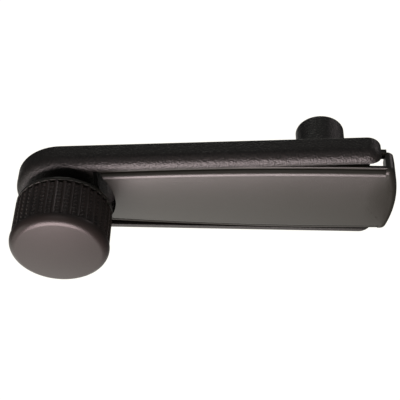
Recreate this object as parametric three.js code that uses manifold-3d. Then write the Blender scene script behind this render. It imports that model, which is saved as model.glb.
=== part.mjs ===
// Car window winder handle: a moulded crank arm on a splined hub, a hinged arm cover over the
// fixing screw, and a free-turning knob with a ribbed grip sleeve and a smooth cap.
//
// Millimetres. The spindle axis is the Y axis, and the origin is where it meets the hub's rear face.
// The handle's front looks along -Y, the arm runs along X with the knob at -X, and +Z is up on the door.
// A depth is a distance in front of the hub's rear face, so a point of that depth has y = -depth.

import * as THREE from 'three';
import { mergeVertices } from 'three/addons/utils/BufferGeometryUtils.js';
import Module from 'manifold-3d';

const wasm = await Module();
wasm.setup();

// Fits that several pieces share.
const seatGap = 0.3; // between two pieces that touch, or that one holds in the other
const overrun = 1.5; // how far a cut runs past the face that it opens
const bury = 0.4; // how far a rib, lug or post runs into what carries it
const edgeBreak = 0.4; // bevel on the sharp rims of turned and moulded pieces

// Hub and spindle socket.
const hubRadius = 8.5;
const hubLength = 22.2; // hub's rear face to the arm's rear face
const hubWall = 2;
const insertWall = 1.5;
const insertWebThickness = 3;
const hubWebThickness = 1.4;
const splineCount = 24;
const splineHeight = 0.5;

// Fixing screw and its washers.
const screwRadius = 2.5;
const screwHoleSlack = 0.3;
const screwReach = 4; // how far the screw stands into the socket
const screwHeadRadius = 4.6;
const screwHeadHeight = 2.2;
const screwRecessWidth = 1.1;
const screwRecessSpan = 5;
const screwRecessDepth = 1.6;
const washerRadius = 6.2;
const washerThickness = 1;
const lockWasherRadius = 4.7;
const lockWasherThickness = 1.2;
const lockWasherSplit = 0.9;
const screwBossHeight = 1.5; // above the tray floor

// Crank arm.
const throwLength = 87.6; // spindle axis to knob axis
const armThickness = 8.5;
const knobEndRadius = 17.1;
const spindleSideRadius = 20; // spindle axis to either long side, square to that side
const armReach = 18.05; // spindle axis to the arm's end
const armCornerRadius = 5;
const armEdgeRadius = 3.7;
const trayFloor = 1.9;
const floorSetback = 3.05; // arm's end to the end of the tray floor
const rimWidth = 3.9; // outer side to the rebate that the cover lies in
const rebateDepth = 2.3;
const ledgeWidth = 2.4;
const trayRibThickness = 1.6;
const trayRibHeight = 3.1;
const trayRibOffset = 5.2; // arm's centre line to each long rib
const crossRibShares = [0.25, 0.5, 0.75]; // along the long ribs

// Arm cover.
const coverWidestX = 0; // spindle axis to where the cover is widest
const coverSideInset = 4.6; // arm's side to the cover's edge, where the cover is widest
const coverHingeInset = 4.8; // the same at the hinge
const flangeThickness = 1;
const panelRise = 1.3;
const panelInset = 1.3; // flange edge to panel edge
const panelEdgeRadius = 2;
const panelCrown = 0.9;
const panelCrownRun = 9; // how far the crown reaches in from the cover's end
const coverShell = 1.5;
const coverOverhang = 5.9; // arm's end to the cover's end, in the middle
const coverEndRadius = 50;
const coverEndCorner = 2.3;
const coverEndEdge = 2.2;
const endWallThickness = 2.4;
const endWallStart = 1.05; // arm's end to the end wall
const endWallLift = 0.4; // arm's rear face to the rear edge of the end wall
const coverTipSetback = 11.6; // knob axis to the blunt tips of the cover
const coverRibThickness = 1.2;
const coverRibHeight = 1.1;
const coverRibShares = [0.18, 0.38, 0.58, 0.92];
const hookWidth = 3.1;
const hookThickness = 1.5;
const hookRoot = 0.6; // how far a hook runs into the end wall
const hookOutset = 0.5; // how far a hook stands out past the cover's side
const hookDrop = 0.8; // how far a hook stands behind the end wall
const coverRestAngle = 1.05; // degrees that the cover stands ajar

// Hinge of the cover: stub pins on two lugs, in blind holes of the arm's sides.
const hingeSetback = 16.6; // knob axis to hinge axis
const hingePinRadius = 1;
const hingePinSlack = 0.3;
const hingePinLength = 2.3;
const hingeWeb = 0.5; // material between the pin holes and the ledge
const hingeLugRadius = 2;
const hingeLugThickness = 2.1;
const hingeLugInset = 0.4; // flange edge to lug

// Knob spindle and what it carries.
const pedestalRadius = 9.3;
const pedestalHeight = 3.4;
const spindleShankRadius = 3.5;
const spindleJournalRadius = 3.2;
const spindleCollarRadius = 6;
const spindleCollarThickness = 1;
const rivetHeadRadius = 4.8;
const rivetHeadHeight = 0.9;
const rivetHeadSetback = 0.2; // arm's rear face to the rivet head
const backingWasherRadius = 6;
const backingWasherThickness = 1;
const thrustWasherRadius = 6.5;
const thrustWasherThickness = 0.6;
const runningGap = 0.3; // between the turning knob and what stands still
const waveWasherRadius = 5.8;
const waveWasherThickness = 0.3;
const waveWasherLift = 0.5; // trough to crest
const waveCount = 3;
const retainingRingRadius = 5.2;
const retainingRingThickness = 0.8;
const retainingRingMouth = 3.2;
const grooveDepth = 0.9;
const spindleTip = 1.1; // length in front of the groove

// Knob.
const lipInset = 0.05; // crests of the sleeve's ribs to the lip's rim
const lipThickness = 1.3;
const lipOverhang = 1.4; // how far the lip stands behind the face that runs on the thrust washer
const knobWebThickness = 1.4;
const knobHubWall = 1.9;
const knobHubLength = 9.9;
const knobRimRadius = 14.3;
const knobRimWall = 1.9;
const knobRibCount = 6;
const knobRibThickness = 1.4;
const knobRibHeight = 5;
const bushWall = 1.5;
const bushFlangeRadius = 6.2;
const bushFlangeThickness = 0.8;
const sleeveLength = 13.7;
const sleeveWall = 0.9; // under the ribs
const sleeveRibHeight = 0.75;
const sleeveRibCount = 36;
const capOverhang = 0.25; // crests of the sleeve's ribs to the cap's widest rim
const capBand = 0.2;
const capEdgeRadius = 3.2;
const capSlope = 9.5; // degrees that the face falls away at its edge
const capWall = 2;
const capSkirtWall = 1.3;
const capSkirtLength = 5;

// Facets.
const roundSides = 64;
const smallSides = 32;
const endArcSteps = 30;
const bowSteps = 12;
const cornerSteps = 6;
const edgeSteps = 5;

// Levels, as depths.
const armRear = hubLength;
const armFront = armRear + armThickness;
const trayLevel = armRear + trayFloor;
const ledgeLevel = armFront - rebateDepth;
const hingeLevel = ledgeLevel - hingeWeb - hingePinSlack - hingePinRadius;
const flangeRear = ledgeLevel + seatGap;
const flangeFront = flangeRear + flangeThickness;
const panelFront = flangeFront + panelRise;
const pedestalTop = armFront + pedestalHeight;

// Places along the arm.
const hingeX = hingeSetback - throwLength;
const floorReach = armReach - floorSetback;
const wallStart = armReach + endWallStart;
const coverReach = armReach + coverOverhang;
const crownStartX = coverReach - coverEndEdge - panelCrownRun;

// The long sides run off parallel by this angle, tangent to both end circles.
const sideAngle = Math.asin((spindleSideRadius - knobEndRadius) / throwLength);

const finishes = {
  armPlastic: new THREE.MeshStandardMaterial({ color: 0x2c2727, roughness: 0.55, metalness: 0 }),
  coverPlastic: new THREE.MeshStandardMaterial({ color: 0x5c5352, roughness: 0.42, metalness: 0 }),
  gripRubber: new THREE.MeshStandardMaterial({ color: 0x1b1919, roughness: 0.75, metalness: 0 }),
  steel: new THREE.MeshStandardMaterial({ color: 0x9a9a98, roughness: 0.35, metalness: 1 }),
  platedSteel: new THREE.MeshStandardMaterial({ color: 0xb5b1a6, roughness: 0.3, metalness: 1 }),
  sinteredSteel: new THREE.MeshStandardMaterial({ color: 0x7d7c7a, roughness: 0.5, metalness: 1 }),
  acetal: new THREE.MeshStandardMaterial({ color: 0xd8d4c8, roughness: 0.5, metalness: 0 }),
};

// A closed mesh as a solid that can be joined and cut.
function toSolid(geometry) {
  const bare = geometry.clone();
  bare.deleteAttribute('normal');
  bare.deleteAttribute('uv');
  const merged = mergeVertices(bare);
  const corners = merged.index.array;
  const kept = [];
  for (let i = 0; i < corners.length; i += 3) {
    const [a, b, c] = [corners[i], corners[i + 1], corners[i + 2]];
    if (a !== b && b !== c && c !== a) kept.push(a, b, c);
  }
  return new wasm.Manifold(new wasm.Mesh({
    numProp: 3,
    vertProperties: new Float32Array(merged.attributes.position.array),
    triVerts: new Uint32Array(kept),
  }));
}

function join(first, ...others) {
  return others.reduce((sum, other) => sum.add(other), first);
}

function cut(body, ...tools) {
  return tools.reduce((rest, tool) => rest.subtract(tool), body);
}

// A named mesh of a solid.
function piece(name, solid, material) {
  const { vertProperties, triVerts } = solid.getMesh();
  const geometry = new THREE.BufferGeometry();
  geometry.setAttribute('position', new THREE.BufferAttribute(new Float32Array(vertProperties), 3));
  geometry.setIndex(new THREE.BufferAttribute(new Uint32Array(triVerts), 1));
  geometry.computeVertexNormals();
  const mesh = new THREE.Mesh(geometry, material);
  mesh.name = name;
  return mesh;
}

// A solid through rings of equal count, from the rear one to the front one.
// Seen from the front, each ring runs anticlockwise.
function loft(rings) {
  const count = rings[0].length;
  const positions = rings.flat().flatMap((point) => point.toArray());
  const faces = [];
  for (let r = 0; r + 1 < rings.length; r += 1) {
    for (let i = 0; i < count; i += 1) {
      const next = (i + 1) % count;
      const [rearA, rearB] = [r * count + i, r * count + next];
      const [frontA, frontB] = [rearA + count, rearB + count];
      faces.push(rearA, rearB, frontB, rearA, frontB, frontA);
    }
  }
  const plan = (ring) => ring.map((point) => new THREE.Vector2(point.x, point.z));
  for (const [a, b, c] of THREE.ShapeUtils.triangulateShape(plan(rings[0]), [])) faces.push(c, b, a);
  const last = (rings.length - 1) * count;
  for (const [a, b, c] of THREE.ShapeUtils.triangulateShape(plan(rings.at(-1)), [])) {
    faces.push(last + a, last + b, last + c);
  }
  const geometry = new THREE.BufferGeometry();
  geometry.setAttribute('position', new THREE.Float32BufferAttribute(positions, 3));
  geometry.setIndex(faces);
  return toSolid(geometry);
}

// A plan outline, held at one depth.
function ringAt(outline, depth) {
  return outline.map((point) => new THREE.Vector3(point.x, -depth, point.y));
}

function prism(outline, rear, front) {
  return loft([ringAt(outline, rear), ringAt(outline, front)]);
}

// A solid of revolution about an axis along Y, from a closed run of [radius, depth] points.
function turned(profile, sides, axisX = 0) {
  const points = profile.map(([radius, depth]) => new THREE.Vector2(radius, -depth));
  if (THREE.ShapeUtils.area(points) < 0) points.reverse();
  const onAxis = points[0].x === 0 && points.at(-1).x === 0;
  if (!onAxis) points.push(points[0].clone());
  const geometry = new THREE.LatheGeometry(points, sides);
  geometry.translate(axisX, 0, 0);
  return toSolid(geometry);
}

// A plain cylinder along Y.
function post(radius, rear, front, sides, axisX = 0) {
  return turned([[0, rear], [radius, rear], [radius, front], [0, front]], sides, axisX);
}

// A plain tube along Y.
function tube(inner, outer, rear, front, sides, axisX = 0) {
  return turned([[inner, rear], [outer, rear], [outer, front], [inner, front]], sides, axisX);
}

// A box between two X, two depths and two Z.
function block([x0, x1], [rear, front], [z0, z1]) {
  const geometry = new THREE.BoxGeometry(x1 - x0, front - rear, z1 - z0);
  geometry.translate((x0 + x1) / 2, -(rear + front) / 2, (z0 + z1) / 2);
  return toSolid(geometry);
}

// A cylinder along Z about the hinge axis.
function hingeRod(radius, z0, z1) {
  const geometry = new THREE.CylinderGeometry(radius, radius, z1 - z0, smallSides);
  geometry.rotateX(Math.PI / 2);
  geometry.translate(hingeX, -hingeLevel, (z0 + z1) / 2);
  return toSolid(geometry);
}

// Points of an arc in plan, with its end points.
function arc(centreX, centreZ, radius, from, to, steps) {
  return Array.from({ length: steps + 1 }, (_, i) => {
    const angle = from + (to - from) * (i / steps);
    return new THREE.Vector2(centreX + radius * Math.cos(angle), centreZ + radius * Math.sin(angle));
  });
}

// Half the arm's width at x, less an inset measured square to the side.
function halfWidth(x, inset) {
  return (spindleSideRadius - inset + x * Math.sin(sideAngle)) / Math.cos(sideAngle);
}

// The arm's outline, less an inset.
function armOutline(inset) {
  const cornerX = armReach - armCornerRadius;
  const cornerZ = halfWidth(cornerX, armCornerRadius);
  const cornerRadius = armCornerRadius - inset;
  const quarter = Math.PI / 2;
  return [
    ...arc(-throwLength, 0, knobEndRadius - inset, quarter + sideAngle, 3 * quarter - sideAngle, endArcSteps),
    ...arc(cornerX, -cornerZ, cornerRadius, -quarter - sideAngle, 0, cornerSteps),
    ...arc(cornerX, cornerZ, cornerRadius, 0, quarter + sideAngle, cornerSteps),
  ];
}

// A straight strip between two X, a given inset inside the arm's sides.
function strip(x0, x1, inset) {
  return [
    new THREE.Vector2(x0, -halfWidth(x0, inset)),
    new THREE.Vector2(x1, -halfWidth(x1, inset)),
    new THREE.Vector2(x1, halfWidth(x1, inset)),
    new THREE.Vector2(x0, halfWidth(x0, inset)),
  ];
}

// The plan of the cover between two X.
function bowedStrip(x0, x1) {
  const lower = Array.from({ length: bowSteps + 1 }, (_, i) => {
    const x = x0 + (x1 - x0) * (i / bowSteps);
    return new THREE.Vector2(x, -coverHalfWidth(x));
  });
  const upper = lower.map((point) => new THREE.Vector2(point.x, -point.y)).reverse();
  return [...lower, ...upper];
}

// Rings over a rounded front edge. A corner holds its plan point, the way out of the plate there
// and the radius of its edge; at each step the ring turns from the side on to the front.
function roundedRings(corners, front) {
  return Array.from({ length: edgeSteps + 1 }, (_, i) => {
    const turn = (Math.PI / 2) * (i / edgeSteps);
    return corners.map(({ point, out, radius }) => {
      const inset = radius * (1 - Math.cos(turn));
      const depth = front - radius * (1 - Math.sin(turn));
      return new THREE.Vector3(point.x - out.x * inset, -depth, point.y - out.y * inset);
    });
  });
}

// Both sides alike: a solid made for one side of the arm's centre line, and its mirror image.
function onBothSides(make) {
  return [1, -1].map((side) => make(side));
}

// Two Z limits on one side of the centre line, lowest first.
function sideSpan(side, near, far) {
  return side > 0 ? [near, far] : [-far, -near];
}

// Radii and depths that pieces of the hub and of the knob share.
const hubBoreRadius = hubRadius - hubWall;
const insertRadius = hubBoreRadius - seatGap;
const splineRoot = insertRadius - insertWall;
const splineTip = splineRoot - splineHeight;
const screwHoleRadius = screwRadius + screwHoleSlack;
const insertFront = armRear + trayFloor - hubWebThickness - seatGap - seatGap;
const webRear = insertFront + seatGap;
const webFront = webRear + hubWebThickness;
const screwWellRadius = washerRadius + seatGap + seatGap;
const washerRear = webFront + seatGap;
const lockWasherRear = washerRear + washerThickness + seatGap;
const screwHeadRear = lockWasherRear + lockWasherThickness + seatGap;
const socketEnd = insertFront - insertWebThickness;
const backingWasherRear = armRear + rivetHeadSetback + rivetHeadHeight + seatGap;
const backingWasherFront = backingWasherRear + backingWasherThickness;
const bushRadius = spindleJournalRadius + runningGap + bushWall;
const knobBoreRadius = bushRadius + seatGap;
const sleeveRibRadius = knobRimRadius + seatGap + sleeveWall + sleeveRibHeight;
const lipRadius = sleeveRibRadius - lipInset;
const capRadius = sleeveRibRadius + capOverhang;

// How the cover's tail swings: the pocket under it clears its farthest corner.
const scoopRadius = knobEndRadius;
const tipX = coverTipSetback - throwLength;
const scoopTipX = Math.sqrt(scoopRadius ** 2 - panelHalfWidth(tipX) ** 2) - throwLength;
const tailSweep = Math.max(
  Math.hypot(hingeX - tipX, flangeFront - hingeLevel),
  Math.hypot(hingeX - scoopTipX, panelFront - hingeLevel),
);
const pocketX = hingeX - tailSweep - seatGap;
const pocketEndX = hingeX + hingeLugRadius + seatGap;

// Half the cover's width at x. Its sides are shallow bows.
function coverHalfWidth(x) {
  const widest = halfWidth(coverWidestX, coverSideInset);
  const atHinge = halfWidth(hingeX, coverHingeInset);
  const along = (x - coverWidestX) / (coverWidestX - hingeX);
  return widest - (widest - atHinge) * along ** 2;
}

function panelHalfWidth(x) {
  return coverHalfWidth(x) - panelInset;
}

function crankArm() {
  const plain = armOutline(0);
  const inner = armOutline(armEdgeRadius);
  const corners = plain.map((point, i) => ({
    point,
    out: point.clone().sub(inner[i]).normalize(),
    radius: armEdgeRadius,
  }));
  const shell = loft([
    ringAt(armOutline(edgeBreak), armRear),
    ringAt(plain, armRear + edgeBreak),
    ...roundedRings(corners, armFront),
  ]);
  const hub = turned([
    [0, 0],
    [hubRadius - edgeBreak, 0],
    [hubRadius, edgeBreak],
    [hubRadius, trayLevel + screwBossHeight],
    [0, trayLevel + screwBossHeight],
  ], roundSides);
  const pedestal = turned([
    [0, armFront - bury],
    [pedestalRadius, armFront - bury],
    [pedestalRadius, pedestalTop - edgeBreak],
    [pedestalRadius - edgeBreak, pedestalTop],
    [0, pedestalTop],
  ], roundSides, -throwLength);

  const pastEnd = armReach + overrun;
  const pastFront = armFront + overrun;
  const trayInset = rimWidth + ledgeWidth;
  const tray = prism(strip(pocketEndX - bury, pastEnd, trayInset), trayLevel, pastFront);
  const rebate = prism(strip(pocketX, pastEnd, rimWidth), ledgeLevel, pastFront);
  const hingePocket = prism(strip(pocketX, pocketEndX, rimWidth), trayLevel, pastFront);
  const notchHalf = halfWidth(armReach, rimWidth);
  const endNotch = block([floorReach, pastEnd], [armRear - overrun, pastFront], [-notchHalf, notchHalf]);
  const pinHoleRadius = hingePinRadius + hingePinSlack;
  const pinHoles = onBothSides((side) => {
    const wall = halfWidth(hingeX, rimWidth);
    return hingeRod(pinHoleRadius, ...sideSpan(side, wall - overrun, wall + hingePinLength + seatGap));
  });

  const ribSpan = [pocketEndX, bury - hubRadius];
  const ribLevels = [trayLevel - bury, trayLevel + trayRibHeight];
  const longRibs = onBothSides((side) => block(ribSpan, ribLevels, sideSpan(
    side,
    trayRibOffset - trayRibThickness / 2,
    trayRibOffset + trayRibThickness / 2,
  )));
  const crossRibs = crossRibShares.map((share) => {
    const x = ribSpan[0] + (ribSpan[1] - ribSpan[0]) * share;
    return prism(strip(x - trayRibThickness / 2, x + trayRibThickness / 2, trayInset - bury), ...ribLevels);
  });

  const hubBore = post(hubBoreRadius, -overrun, webRear, roundSides);
  const screwHole = post(screwHoleRadius, webRear - overrun, pastFront, smallSides);
  const screwWell = post(screwWellRadius, webFront, pastFront, roundSides);
  const shankHole = post(
    spindleShankRadius + seatGap,
    armRear - overrun,
    pedestalTop + overrun,
    smallSides,
    -throwLength,
  );
  const rivetWell = post(
    backingWasherRadius + seatGap,
    armRear - overrun,
    backingWasherFront + seatGap,
    roundSides,
    -throwLength,
  );

  const hollow = cut(shell, tray, rebate, hingePocket, endNotch);
  const stiffened = join(hollow, hub, pedestal, ...longRibs, ...crossRibs);
  return cut(stiffened, hubBore, screwWell, screwHole, shankHole, rivetWell, ...pinHoles);
}

// The splined metal bush that the regulator spindle drives.
function hubInsert() {
  const rear = seatGap;
  const body = turned([
    [0, rear],
    [insertRadius - edgeBreak, rear],
    [insertRadius, rear + edgeBreak],
    [insertRadius, insertFront],
    [0, insertFront],
  ], roundSides);
  const teeth = [];
  const pitch = (2 * Math.PI) / splineCount;
  const toothShares = [0, 0.22, 0.5, 0.72];
  for (let i = 0; i < splineCount; i += 1) {
    toothShares.forEach((share, corner) => {
      const radius = corner < 2 ? splineTip : splineRoot;
      const angle = pitch * (i + share);
      teeth.push(new THREE.Vector2(radius * Math.cos(angle), radius * Math.sin(angle)));
    });
  }
  return cut(
    body,
    prism(teeth, rear - overrun, socketEnd),
    post(screwHoleRadius, socketEnd - overrun, insertFront + overrun, smallSides),
  );
}

function plainWasher() {
  return tube(screwHoleRadius, washerRadius, washerRear, washerRear + washerThickness, smallSides);
}

function lockWasher() {
  const front = lockWasherRear + lockWasherThickness;
  const ring = tube(screwHoleRadius, lockWasherRadius, lockWasherRear, front, smallSides);
  const half = lockWasherSplit / 2;
  const reach = [0, lockWasherRadius + overrun];
  return cut(ring, block(reach, [lockWasherRear - overrun, front + overrun], [-half, half]));
}

// Pan-headed screw with a cross recess. Its tip stands in the socket, where the spindle's thread is.
function fixingScrew() {
  const tip = socketEnd - screwReach;
  const headFront = screwHeadRear + screwHeadHeight;
  const headShoulder = screwHeadRadius - edgeBreak - edgeBreak;
  const body = turned([
    [0, tip],
    [screwRadius - edgeBreak, tip],
    [screwRadius, tip + edgeBreak],
    [screwRadius, screwHeadRear],
    [screwHeadRadius, screwHeadRear],
    [screwHeadRadius, headFront - edgeBreak - edgeBreak],
    [headShoulder, headFront],
    [0, headFront],
  ], smallSides);
  const recess = [headFront - screwRecessDepth, headFront + overrun];
  const narrow = [-screwRecessWidth / 2, screwRecessWidth / 2];
  const wide = [-screwRecessSpan / 2, screwRecessSpan / 2];
  return cut(body, join(block(wide, recess, narrow), block(narrow, recess, wide)));
}

// The cover's outline towards its end, from the lower edge round to the upper one.
// Each corner knows the way out of the plate and the radius of its front edge.
function coverCorners(startX, edge, sideHalfWidth, sideEdge) {
  const arcCentre = coverReach - coverEndRadius;
  const innerRadius = coverEndRadius - coverEndCorner;
  let cornerX = coverReach - coverEndCorner;
  let cornerZ = 0;
  for (let pass = 0; pass < cornerSteps; pass += 1) {
    cornerZ = sideHalfWidth(cornerX) - coverEndCorner;
    cornerX = arcCentre + Math.sqrt(innerRadius ** 2 - cornerZ ** 2);
  }
  const endAngle = Math.asin(cornerZ / innerRadius);
  const upper = [];
  for (let i = 0; i <= cornerSteps; i += 1) {
    const angle = endAngle * (i / cornerSteps);
    const out = new THREE.Vector2(Math.cos(angle), Math.sin(angle));
    const point = new THREE.Vector2(arcCentre, 0).addScaledVector(out, coverEndRadius);
    upper.push({ point, out, radius: edge });
  }
  for (let i = 1; i <= cornerSteps; i += 1) {
    const share = i / cornerSteps;
    const angle = endAngle + (Math.PI / 2 - endAngle) * share;
    const out = new THREE.Vector2(Math.cos(angle), Math.sin(angle));
    const point = new THREE.Vector2(cornerX, cornerZ).addScaledVector(out, coverEndCorner);
    upper.push({ point, out, radius: edge + (sideEdge - edge) * share });
  }
  const sideStart = upper.at(-1).point.x;
  for (let i = 1; i <= cornerSteps; i += 1) {
    const x = sideStart + (startX - sideStart) * (i / cornerSteps);
    const point = new THREE.Vector2(x, sideHalfWidth(x));
    upper.push({ point, out: new THREE.Vector2(0, 1), radius: sideEdge });
  }
  const flip = ({ point, out, radius }) => ({
    point: new THREE.Vector2(point.x, -point.y),
    out: new THREE.Vector2(out.x, -out.y),
    radius,
  });
  return [...upper.slice(1).reverse().map(flip), ...upper];
}

// How far the panel's crown stands in front of the panel's edge. It falls to both sides and to the end.
function crownHeight(x, z) {
  const sideShare = Math.abs(z) / (panelHalfWidth(x) - panelEdgeRadius);
  const endShare = Math.max(0, x - crownStartX) / panelCrownRun;
  return panelCrown * (1 - sideShare ** 2) * (1 - endShare ** 2);
}

// Rings that carry the panel from its rounded edge up to the middle of its crown.
function crownRings(ring) {
  const crownShares = [0.84, 0.6, 0.34, 0.1];
  return crownShares.map((share) => ring.map((point) => {
    const x = point.x - Math.max(0, point.x - crownStartX) * (1 - share);
    const z = point.z * share;
    return new THREE.Vector3(x, point.y - crownHeight(x, z), z);
  }));
}

function armCover() {
  const startX = tipX - overrun;
  const flange = prism(bowedStrip(startX, wallStart + bury), flangeRear, flangeFront);
  const panelCorners = coverCorners(startX, coverEndEdge, panelHalfWidth, panelEdgeRadius);
  const panelEdge = roundedRings(panelCorners, panelFront);
  const panel = loft([
    panelCorners.map(({ point }) => new THREE.Vector3(point.x, -flangeRear, point.y)),
    ...panelEdge,
    ...crownRings(panelEdge.at(-1)),
  ]);

  const wallRear = armRear + endWallLift;
  const wallCorners = coverCorners(floorReach, coverEndEdge, coverHalfWidth, coverEndEdge);
  const endBlock = loft([
    wallCorners.map(({ point }) => new THREE.Vector3(point.x, -wallRear, point.y)),
    ...roundedRings(wallCorners, panelFront),
  ]);
  const endWall = cut(endBlock, block(
    [floorReach - overrun, wallStart],
    [wallRear - overrun, panelFront + overrun],
    [-knobEndRadius, knobEndRadius],
  ));

  const hollowHalf = panelHalfWidth(hingeX) - coverShell;
  const hollowEnd = coverReach - endWallThickness;
  const hollow = prism([
    new THREE.Vector2(startX - overrun, -hollowHalf),
    ...arc(hollowEnd - coverEndRadius, 0, coverEndRadius, -Math.asin(hollowHalf / coverEndRadius),
      Math.asin(hollowHalf / coverEndRadius), cornerSteps),
    new THREE.Vector2(startX - overrun, hollowHalf),
  ], armRear - overrun, panelFront - coverShell);
  const scoop = post(scoopRadius, armRear, pedestalTop + overrun, roundSides, -throwLength);
  const tips = block([startX - overrun, tipX], [armRear, pedestalTop], [-knobEndRadius, knobEndRadius]);

  const ribLevels = [panelFront - coverShell - coverRibHeight, panelFront - coverShell + bury];
  const ribs = coverRibShares.map((share) => {
    const x = pocketEndX + (floorReach - pocketEndX) * share;
    const half = hollowHalf + bury;
    return block([x - coverRibThickness / 2, x + coverRibThickness / 2], ribLevels, [-half, half]);
  });

  const lugOuter = coverHalfWidth(hingeX) - hingeLugInset;
  const lugInner = lugOuter - hingeLugThickness;
  const lugs = onBothSides((side) => join(
    hingeRod(hingeLugRadius, ...sideSpan(side, lugInner, lugOuter)),
    block([hingeX - hingeLugRadius, hingeX + hingeLugRadius], [hingeLevel, flangeRear + bury],
      sideSpan(side, lugInner, lugOuter)),
  ));
  const pinEnd = halfWidth(hingeX, rimWidth) + hingePinLength;
  const pins = onBothSides((side) => hingeRod(hingePinRadius, ...sideSpan(side, lugOuter - bury, pinEnd)));

  const hookOuter = coverHalfWidth(armReach) + hookOutset;
  const hookSpan = [floorReach + seatGap + edgeBreak, wallStart + hookRoot];
  const hookLevels = [wallRear - hookDrop, wallRear - hookDrop + hookThickness];
  const hooks = onBothSides((side) => block(
    hookSpan,
    hookLevels,
    sideSpan(side, hookOuter - hookWidth, hookOuter),
  ));

  const plate = cut(join(flange, panel, endWall), hollow);
  return cut(join(plate, ...ribs, ...lugs, ...pins, ...hooks), scoop, tips);
}

// Levels of the stack in the knob, rear to front.
const collarRear = pedestalTop + seatGap;
const collarFront = collarRear + spindleCollarThickness;
const thrustWasherRear = collarFront + seatGap;
const knobWebRear = thrustWasherRear + thrustWasherThickness + runningGap;
const lipRear = knobWebRear - lipOverhang;
const lipFront = lipRear + lipThickness;
const knobHubFront = knobWebRear + knobHubLength;
const bushFront = knobHubFront + seatGap + bushFlangeThickness;
const waveWasherRear = bushFront + runningGap;
const waveWasherFront = waveWasherRear + waveWasherThickness + waveWasherLift;
const grooveRear = waveWasherFront;
const retainingRingRear = grooveRear + seatGap;
const grooveFront = retainingRingRear + retainingRingThickness + seatGap;
const sleeveRear = lipFront + seatGap;
const sleeveFront = sleeveRear + sleeveLength;
const capRear = sleeveFront + seatGap;
const capFront = capRear + capBand + capEdgeRadius;

// Riveted into the arm at the rear, with a journal that the knob turns on.
function knobSpindle() {
  const tail = armRear + rivetHeadSetback;
  const tip = grooveFront + spindleTip;
  return turned([
    [0, tail],
    [rivetHeadRadius - edgeBreak, tail],
    [rivetHeadRadius, tail + edgeBreak],
    [rivetHeadRadius, tail + rivetHeadHeight],
    [spindleShankRadius, tail + rivetHeadHeight],
    [spindleShankRadius, collarRear],
    [spindleCollarRadius, collarRear],
    [spindleCollarRadius, collarFront],
    [spindleJournalRadius, collarFront],
    [spindleJournalRadius, grooveRear],
    [spindleJournalRadius - grooveDepth, grooveRear],
    [spindleJournalRadius - grooveDepth, grooveFront],
    [spindleJournalRadius, grooveFront],
    [spindleJournalRadius, tip - edgeBreak],
    [spindleJournalRadius - edgeBreak, tip],
    [0, tip],
  ], smallSides, -throwLength);
}

function backingWasher() {
  return tube(
    spindleShankRadius + seatGap,
    backingWasherRadius,
    backingWasherRear,
    backingWasherFront,
    smallSides,
    -throwLength,
  );
}

function thrustWasher() {
  const inner = spindleJournalRadius + seatGap;
  const front = thrustWasherRear + thrustWasherThickness;
  return tube(inner, thrustWasherRadius, thrustWasherRear, front, smallSides, -throwLength);
}

// The wavy spring ring that takes up the knob's end play.
function waveWasher() {
  const inner = spindleJournalRadius + seatGap;
  const sections = [];
  for (let i = 0; i < roundSides; i += 1) {
    const angle = (2 * Math.PI * i) / roundSides;
    const rear = waveWasherRear + (waveWasherLift * (1 + Math.sin(angle * waveCount))) / 2;
    const front = rear + waveWasherThickness;
    sections.push([[inner, rear], [waveWasherRadius, rear], [waveWasherRadius, front], [inner, front]]
      .map(([radius, depth]) => new THREE.Vector3(
        radius * Math.cos(angle) - throwLength,
        -depth,
        radius * Math.sin(angle),
      )));
  }
  const faces = [];
  const side = sections[0].length;
  sections.forEach((_, i) => {
    const nextRing = (i + 1) % sections.length;
    for (let j = 0; j < side; j += 1) {
      const nextCorner = (j + 1) % side;
      const [a, b] = [i * side + j, i * side + nextCorner];
      const [c, d] = [nextRing * side + nextCorner, nextRing * side + j];
      faces.push(a, c, b, a, d, c);
    }
  });
  const geometry = new THREE.BufferGeometry();
  const positions = sections.flat().flatMap((point) => point.toArray());
  geometry.setAttribute('position', new THREE.Float32BufferAttribute(positions, 3));
  geometry.setIndex(faces);
  return toSolid(geometry);
}

// Snap ring in the spindle's groove, with an open mouth.
function retainingRing() {
  const inner = spindleJournalRadius - grooveDepth + seatGap;
  const front = retainingRingRear + retainingRingThickness;
  const ring = tube(inner, retainingRingRadius, retainingRingRear, front, smallSides, -throwLength);
  const half = retainingRingMouth / 2;
  const reach = [-throwLength, retainingRingRadius + overrun - throwLength];
  return cut(ring, block(reach, [retainingRingRear - overrun, front + overrun], [-half, half]));
}

// The moulded core of the knob: a lip behind the sleeve, a rim inside it, and a ribbed hub.
function knobCore() {
  const rimInner = knobRimRadius - knobRimWall;
  const hubOuter = knobBoreRadius + knobHubWall;
  const webFrontLevel = knobWebRear + knobWebThickness;
  const rimFront = sleeveFront;
  const recess = thrustWasherRadius + seatGap + edgeBreak;
  const body = turned([
    [knobBoreRadius, knobWebRear],
    [recess, knobWebRear],
    [recess + edgeBreak, lipRear],
    [lipRadius - edgeBreak, lipRear],
    [lipRadius, lipRear + edgeBreak],
    [lipRadius, lipFront - edgeBreak],
    [lipRadius - edgeBreak, lipFront],
    [knobRimRadius, lipFront],
    [knobRimRadius, rimFront],
    [rimInner, rimFront],
    [rimInner, webFrontLevel],
    [hubOuter, webFrontLevel],
    [hubOuter, knobHubFront],
    [knobBoreRadius, knobHubFront],
  ], roundSides, -throwLength);
  const ribReach = rimInner - hubOuter + bury + bury;
  const ribs = Array.from({ length: knobRibCount }, (_, i) => {
    const geometry = new THREE.BoxGeometry(ribReach, knobRibHeight + bury, knobRibThickness);
    geometry.translate((rimInner + hubOuter) / 2, -(webFrontLevel + (knobRibHeight - bury) / 2), 0);
    geometry.rotateY((2 * Math.PI * i) / knobRibCount);
    geometry.translate(-throwLength, 0, 0);
    return toSolid(geometry);
  });
  return join(body, ...ribs);
}

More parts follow.
